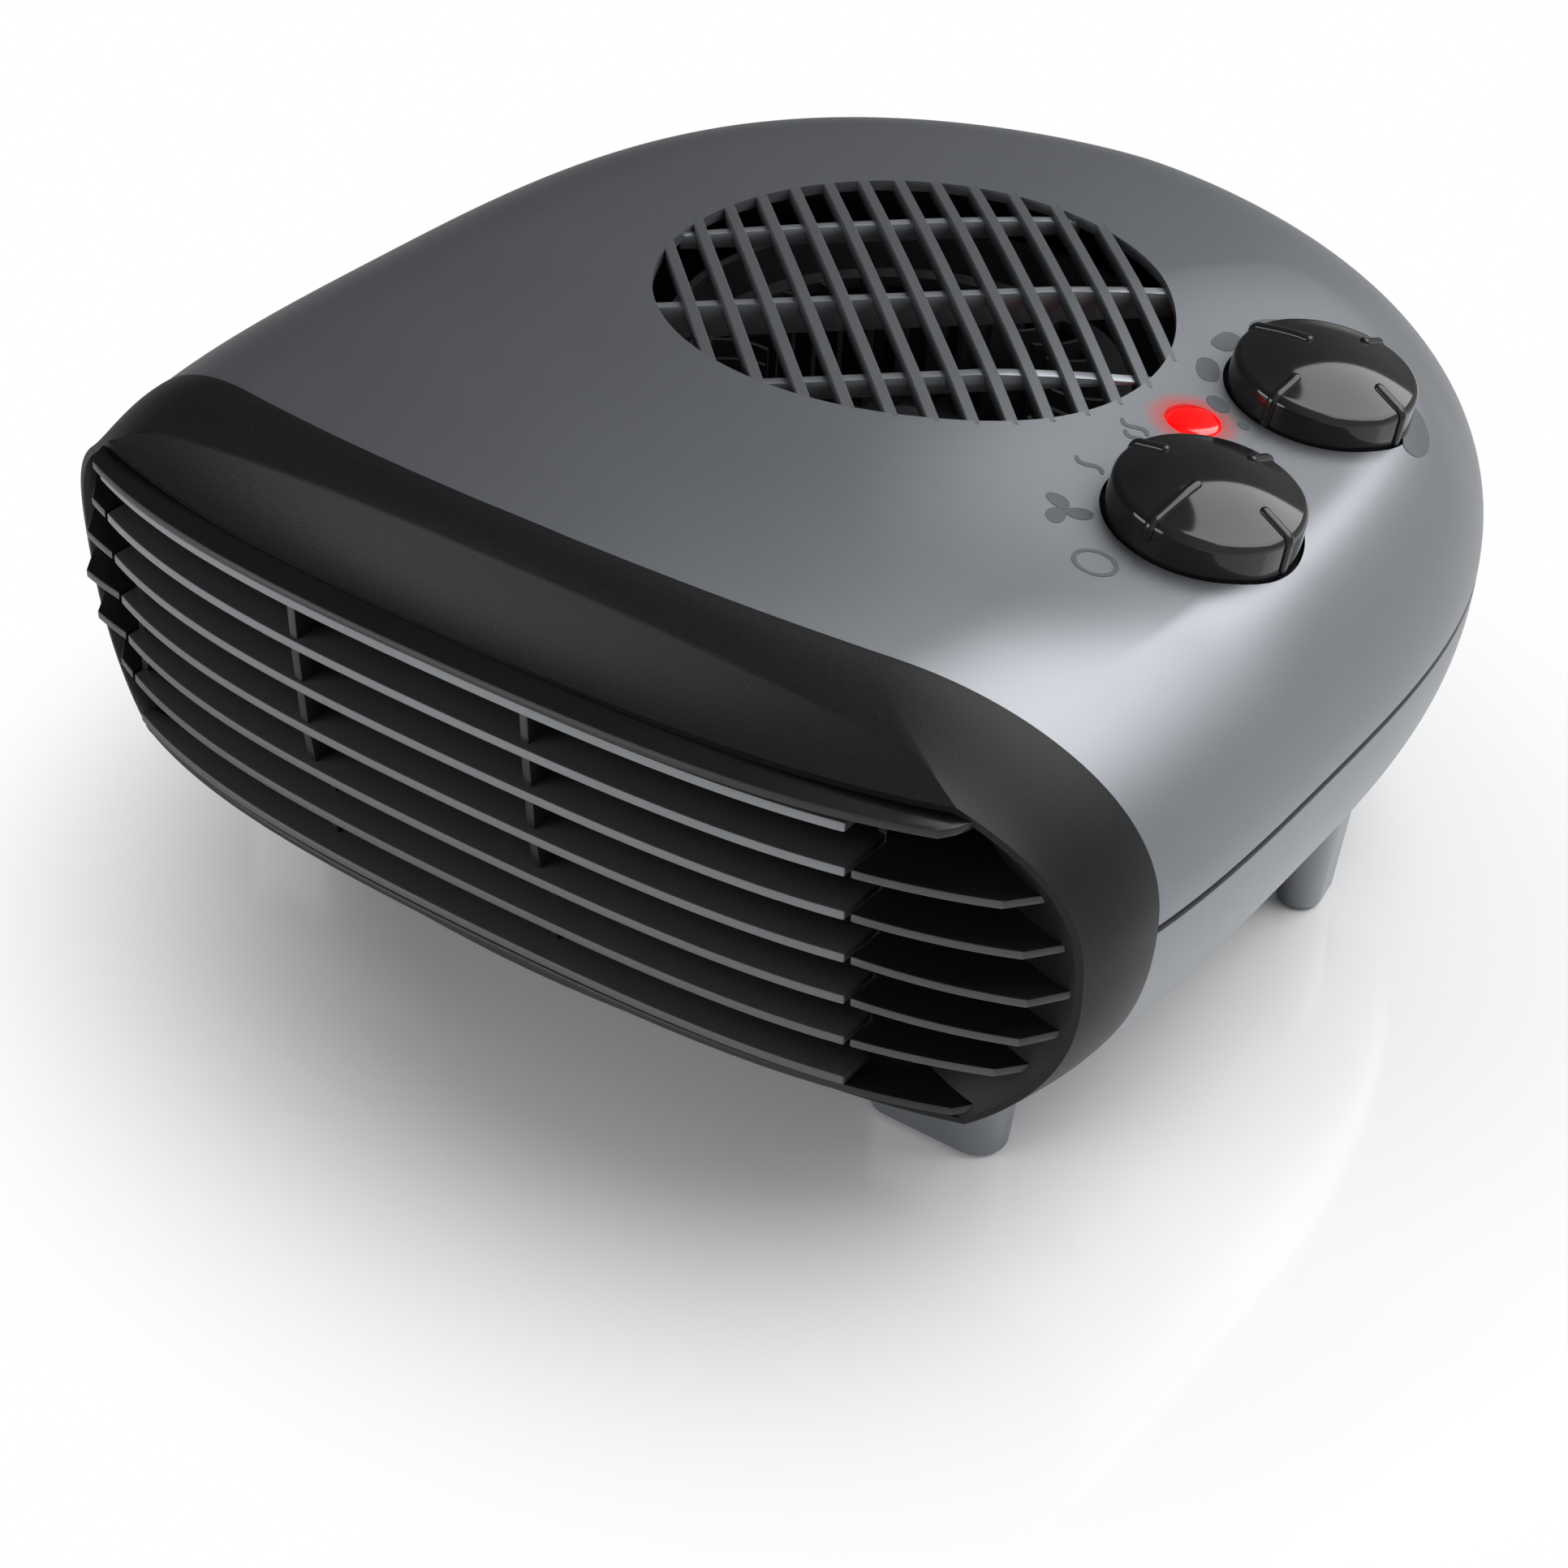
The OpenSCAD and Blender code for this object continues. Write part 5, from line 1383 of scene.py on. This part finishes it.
class HEATER_OT_marks(bpy.types.Operator):
    """Printed symbols beside the knobs: off ring, fan, one and two waves, and the growing heat marks"""

    bl_idname = "heater.marks"
    bl_label = "Printed marks"

    def execute(self, context):
        ring_line = disc_points(4.1, 72, (85.0, 40.2 + SEAM_Y))
        patches = [ribbon_patch(ring_line, 1.0, closed=True), self.fan()]
        patches += [self.wave(x, y) for x, y in ((67.0, 68.3), (66.4, 87.3), (68.9, 84.3))]
        for x, y, size, turn, power, bend in (
            (81.6, 105.6, (3.0, 2.1), -10, 2.1, 0.0),
            (74.0, 108.6, (6.4, 4.0), -28, 2.2, 0.0),
            (66.0, 118.6, (9.0, 5.0), -58, 2.4, 0.0),
            (63.4, 131.6, (8.0, 5.4), -92, 2.8, 0.0),
            (66.8, 145.2, (10.6, 4.4), -128, 2.5, 0.6),
            (106.9, 136.2, (17.0, 5.6), -66, 2.3, -1.6),
        ):
            patches.append(blob_patch((x, y + SEAM_Y), size, turn, power, bend))
        obj = new_object("printed_marks", join("printed_marks", [printed("mark", *p) for p in patches]))
        recalc(obj.data)
        ink = printed_mark("mark_ink", settings("heater_housing").mark_color)
        finish_piece(obj, ink, "black_bezel")
        return {"FINISHED"}

    @staticmethod
    def fan():
        """Three petals round a small open middle."""
        petals = []
        for turn in (25, 145, 265):
            center = (71.7, 51.0 + SEAM_Y) + 3.0 * unit(rad(turn))
            petals.append(blob_patch(center, (5.6, 3.9), turn + 18, 2.0, 0.3, 40, 6))
        points, faces = zip(*petals)
        faces = [f + k * len(points[0]) for k, f in enumerate(faces)]
        return np.concatenate(points), np.concatenate(faces)

    @staticmethod
    def wave(x, y):
        """One long S: a sine along its length, thinner towards its ends."""
        t = np.linspace(-1.0, 1.0, 60)
        line = turned(0.76 * np.stack([t * 4.6, 1.35 * np.sin(t * np.pi)], axis=-1), -12.0)
        return ribbon_patch(line + (x, y + SEAM_Y), 0.5 + 0.8 * np.sqrt(np.clip(1 - t**2, 0, 1)))


class HEATER_OT_inner_works(bpy.types.Operator):
    """Finishes of the working parts that show through the grilles"""

    bl_idname = "heater.inner_works"
    bl_label = "Inner works"

    def execute(self, context):
        wheel = grained_black("wheel_black", (0.03, 0.031, 0.033), 0.5)
        zinc = metal("zinc_sheet", (0.5, 0.52, 0.54), 0.38, (1, 1, 2), 0.25)
        steel = metal("turned_steel", (0.58, 0.59, 0.6), 0.26)
        core = metal("core_laminations", (0.25, 0.25, 0.27), 0.42, (1, 1, 40))
        ribbon = metal("heating_ribbon", (0.36, 0.33, 0.3), 0.36, (1, 1, 3))
        cream = smooth_plastic("cream_plastic", (0.72, 0.69, 0.6), 0.42)
        ceramic = grained_black("pale_ceramic", (0.68, 0.64, 0.56), 0.6, 900.0, 0.02)
        cutout = smooth_plastic("cutout_black", (0.04, 0.04, 0.04), 0.4)
        rubber = grained_black("soft_rubber", (0.022, 0.022, 0.022), 0.78, 1300.0, 0.02)
        for material, *nodes in (
            (wheel, "blower_wheel", "blower_scroll"),
            (zinc, "air_duct", "upper_bracket", "lower_bracket"),
            (steel, "mode_shaft", "thermostat_shaft", "motor_shaft"),
            (steel, "motor_screws", "clamp_screws", "shell_screws"),
            (core, "motor_stator", "motor_rotor"),
            (wound_copper("copper_winding", (0.72, 0.3, 0.13)), "motor_coil"),
            (metal("sintered_bronze", (0.6, 0.42, 0.2), 0.4, (1, 1, 1)), "motor_bushes"),
            (layered_mica("mica_board", (0.6, 0.5, 0.33)), "heater_frame"),
            (ribbon, "front_ribbons", "rear_ribbons"),
            (cream, "mode_switch", "terminal_block"),
            (smooth_plastic("white_plastic", (0.8, 0.8, 0.77), 0.4), "lamp_holder"),
            (ceramic, "thermostat", "thermal_fuse"),
            (cutout, "thermal_cutout", "cord_clamp"),
            (rubber, "foot_pads", "cord_bush"),
        ):
            for name in nodes:
                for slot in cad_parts[name].material_slots:
                    slot.material = material
        return {"FINISHED"}


class HEATER_OT_stage(bpy.types.Operator):
    """Pale floor, white surroundings, two soft lamps and the camera"""

    bl_idname = "heater.stage"
    bl_label = "Stage"

    def execute(self, context):
        s = settings("heater_stage")
        self.floor(s)
        self.world(context)
        self.lamp("key_lamp", (0.52, 0.62, 1.1), (0.0, 0.02, 0.06), (1.5, 1.2), s.key)
        self.lamp("fill_lamp", (-0.62, -1.05, 0.42), (0.0, -0.1, 0.06), (0.9, 0.45), s.fill)
        self.camera(s)
        context.scene.view_settings.view_transform = "Standard"
        return {"FINISHED"}

    def floor(self, s):
        """A glossy pale floor that fades to plain white away from the heater, as the camera sees it."""
        corners = [(x * 6000, y * 6000, 0) for x, y in ((-1, -1), (1, -1), (1, 1), (-1, 1))]
        obj = new_object("floor", make_mesh("floor", corners, [[0, 1, 2, 3]]))
        m = Finish("pale_floor", Roughness=0.6, Coat_Weight=1.0, Coat_IOR=1.8, Coat_Roughness=0.08)
        m.set(Base_Color=m.tint(m.noise(3.0, 2.0, 0.5).ramp(0.2, 0.8), s.floor_color, 0.99, 1.01))
        seen = m.node("ShaderNodeLightPath", output="Is Camera Ray")
        fade = seen * m.far_from((0.03, -0.03, 0.0)).smooth(0.1, 0.22)
        white = m.node("ShaderNodeEmission", inputs={"Color": (1.0, 1.0, 1.0, 1.0)}, output="Emission")
        mixed = m.node("ShaderNodeMixShader", inputs={0: fade, 1: Value(m, m.shader.outputs[0]), 2: white})
        m.tree.links.new(mixed.socket, m.tree.nodes["Material Output"].inputs["Surface"])
        obj.data.materials.append(m.material)

    def world(self, context):
        """Surroundings that are brighter on the right, and white where the camera sees them."""
        world = bpy.data.worlds.new("studio")
        world.use_nodes = True
        context.scene.world = world
        world.node_tree.nodes.clear()
        w = Nodes(world.node_tree)
        at = w.node("ShaderNodeTexCoord", output="Generated")
        x = w.node("ShaderNodeSeparateXYZ", inputs={0: at}, output="X")
        room = w.node("ShaderNodeBackground", inputs={"Strength": x.smooth(-0.62, 0.7, 0.05, 0.74)})
        white = w.node("ShaderNodeBackground", inputs={"Strength": 1.0})
        seen = w.node("ShaderNodeLightPath", output="Is Camera Ray")
        mixed = w.node("ShaderNodeMixShader", inputs={0: seen, 1: room, 2: white})
        w.tree.links.new(mixed.socket, w.tree.nodes.new("ShaderNodeOutputWorld").inputs["Surface"])

    def lamp(self, name, at, aim, size, power):
        data = bpy.data.lights.new(name, "AREA")
        data.shape = "RECTANGLE"
        data.size, data.size_y = size
        data.energy = power
        back = np.array(at) - np.array(aim)
        back /= np.linalg.norm(back)
        right = np.cross([0.0, 0.0, 1.0], back)
        right /= np.linalg.norm(right)
        new_object(name, data).matrix_world = axes(right, np.cross(back, right), back, at)

    def camera(self, s):
        """The photo's view: azimuth, elevation and roll, and a spot on the heater seen from a distance."""
        az, el, roll = rad(33.07), rad(35.31), rad(3.15)
        back = np.array([np.sin(az) * np.cos(el), -np.cos(az) * np.cos(el), np.sin(el)])
        at = np.array([12.88, 47.73 + SEAM_Y, 25.74]) + back * 696.8
        right = np.array([np.cos(az), np.sin(az), 0.0])
        up = np.cross(back, right)
        data = bpy.data.cameras.new("camera")
        data.sensor_width = 36.0
        data.lens = s.lens_mm
        data.clip_start, data.clip_end = 0.02, 40.0
        obj = new_object("camera", data)
        c, k = unit(roll)
        obj.matrix_world = axes(right * c + up * k, up * c - right * k, back, at * MM)
        bpy.context.scene.camera = obj


def axes(right, up, back, at):
    """Matrix of something at a place, in metres, from its three directions."""
    m = np.eye(4)
    m[:3] = np.column_stack([right, up, back, at])
    return Matrix(m.tolist())


class HEATER_PT_panel(bpy.types.Panel):
    """Lists the settings and the pieces"""

    bl_label = "Fan heater"
    bl_idname = "HEATER_PT_panel"
    bl_space_type = "VIEW_3D"
    bl_region_type = "UI"
    bl_category = "Heater"

    def draw(self, context):
        for name, group in GROUPS.items():
            box = self.layout.box()
            for key in group.__annotations__:
                box.prop(getattr(context.scene, name), key)
        for operator in OPERATORS:
            self.layout.operator(operator.bl_idname)


GROUPS = {
    "heater_housing": HousingSettings,
    "heater_front": FrontSettings,
    "heater_grille": GrilleSettings,
    "heater_knobs": KnobSettings,
    "heater_stage": StageSettings,
}
OPERATORS = (
    HEATER_OT_stage,
    HEATER_OT_shells,
    HEATER_OT_bezel,
    HEATER_OT_slats,
    HEATER_OT_top_grille,
    HEATER_OT_knobs,
    HEATER_OT_lens,
    HEATER_OT_marks,
    HEATER_OT_inner_works,
)


def register():
    for cls in (*GROUPS.values(), *OPERATORS, HEATER_PT_panel):
        bpy.utils.register_class(cls)
    for name, group in GROUPS.items():
        setattr(bpy.types.Scene, name, PointerProperty(type=group))


def unregister():
    for name in GROUPS:
        delattr(bpy.types.Scene, name)
    for cls in reversed((*GROUPS.values(), *OPERATORS, HEATER_PT_panel)):
        bpy.utils.unregister_class(cls)


def main():
    register()
    for operator in OPERATORS:
        group, name = operator.bl_idname.split(".")
        getattr(getattr(bpy.ops, group), name)()


if __name__ == "__main__":
    main()
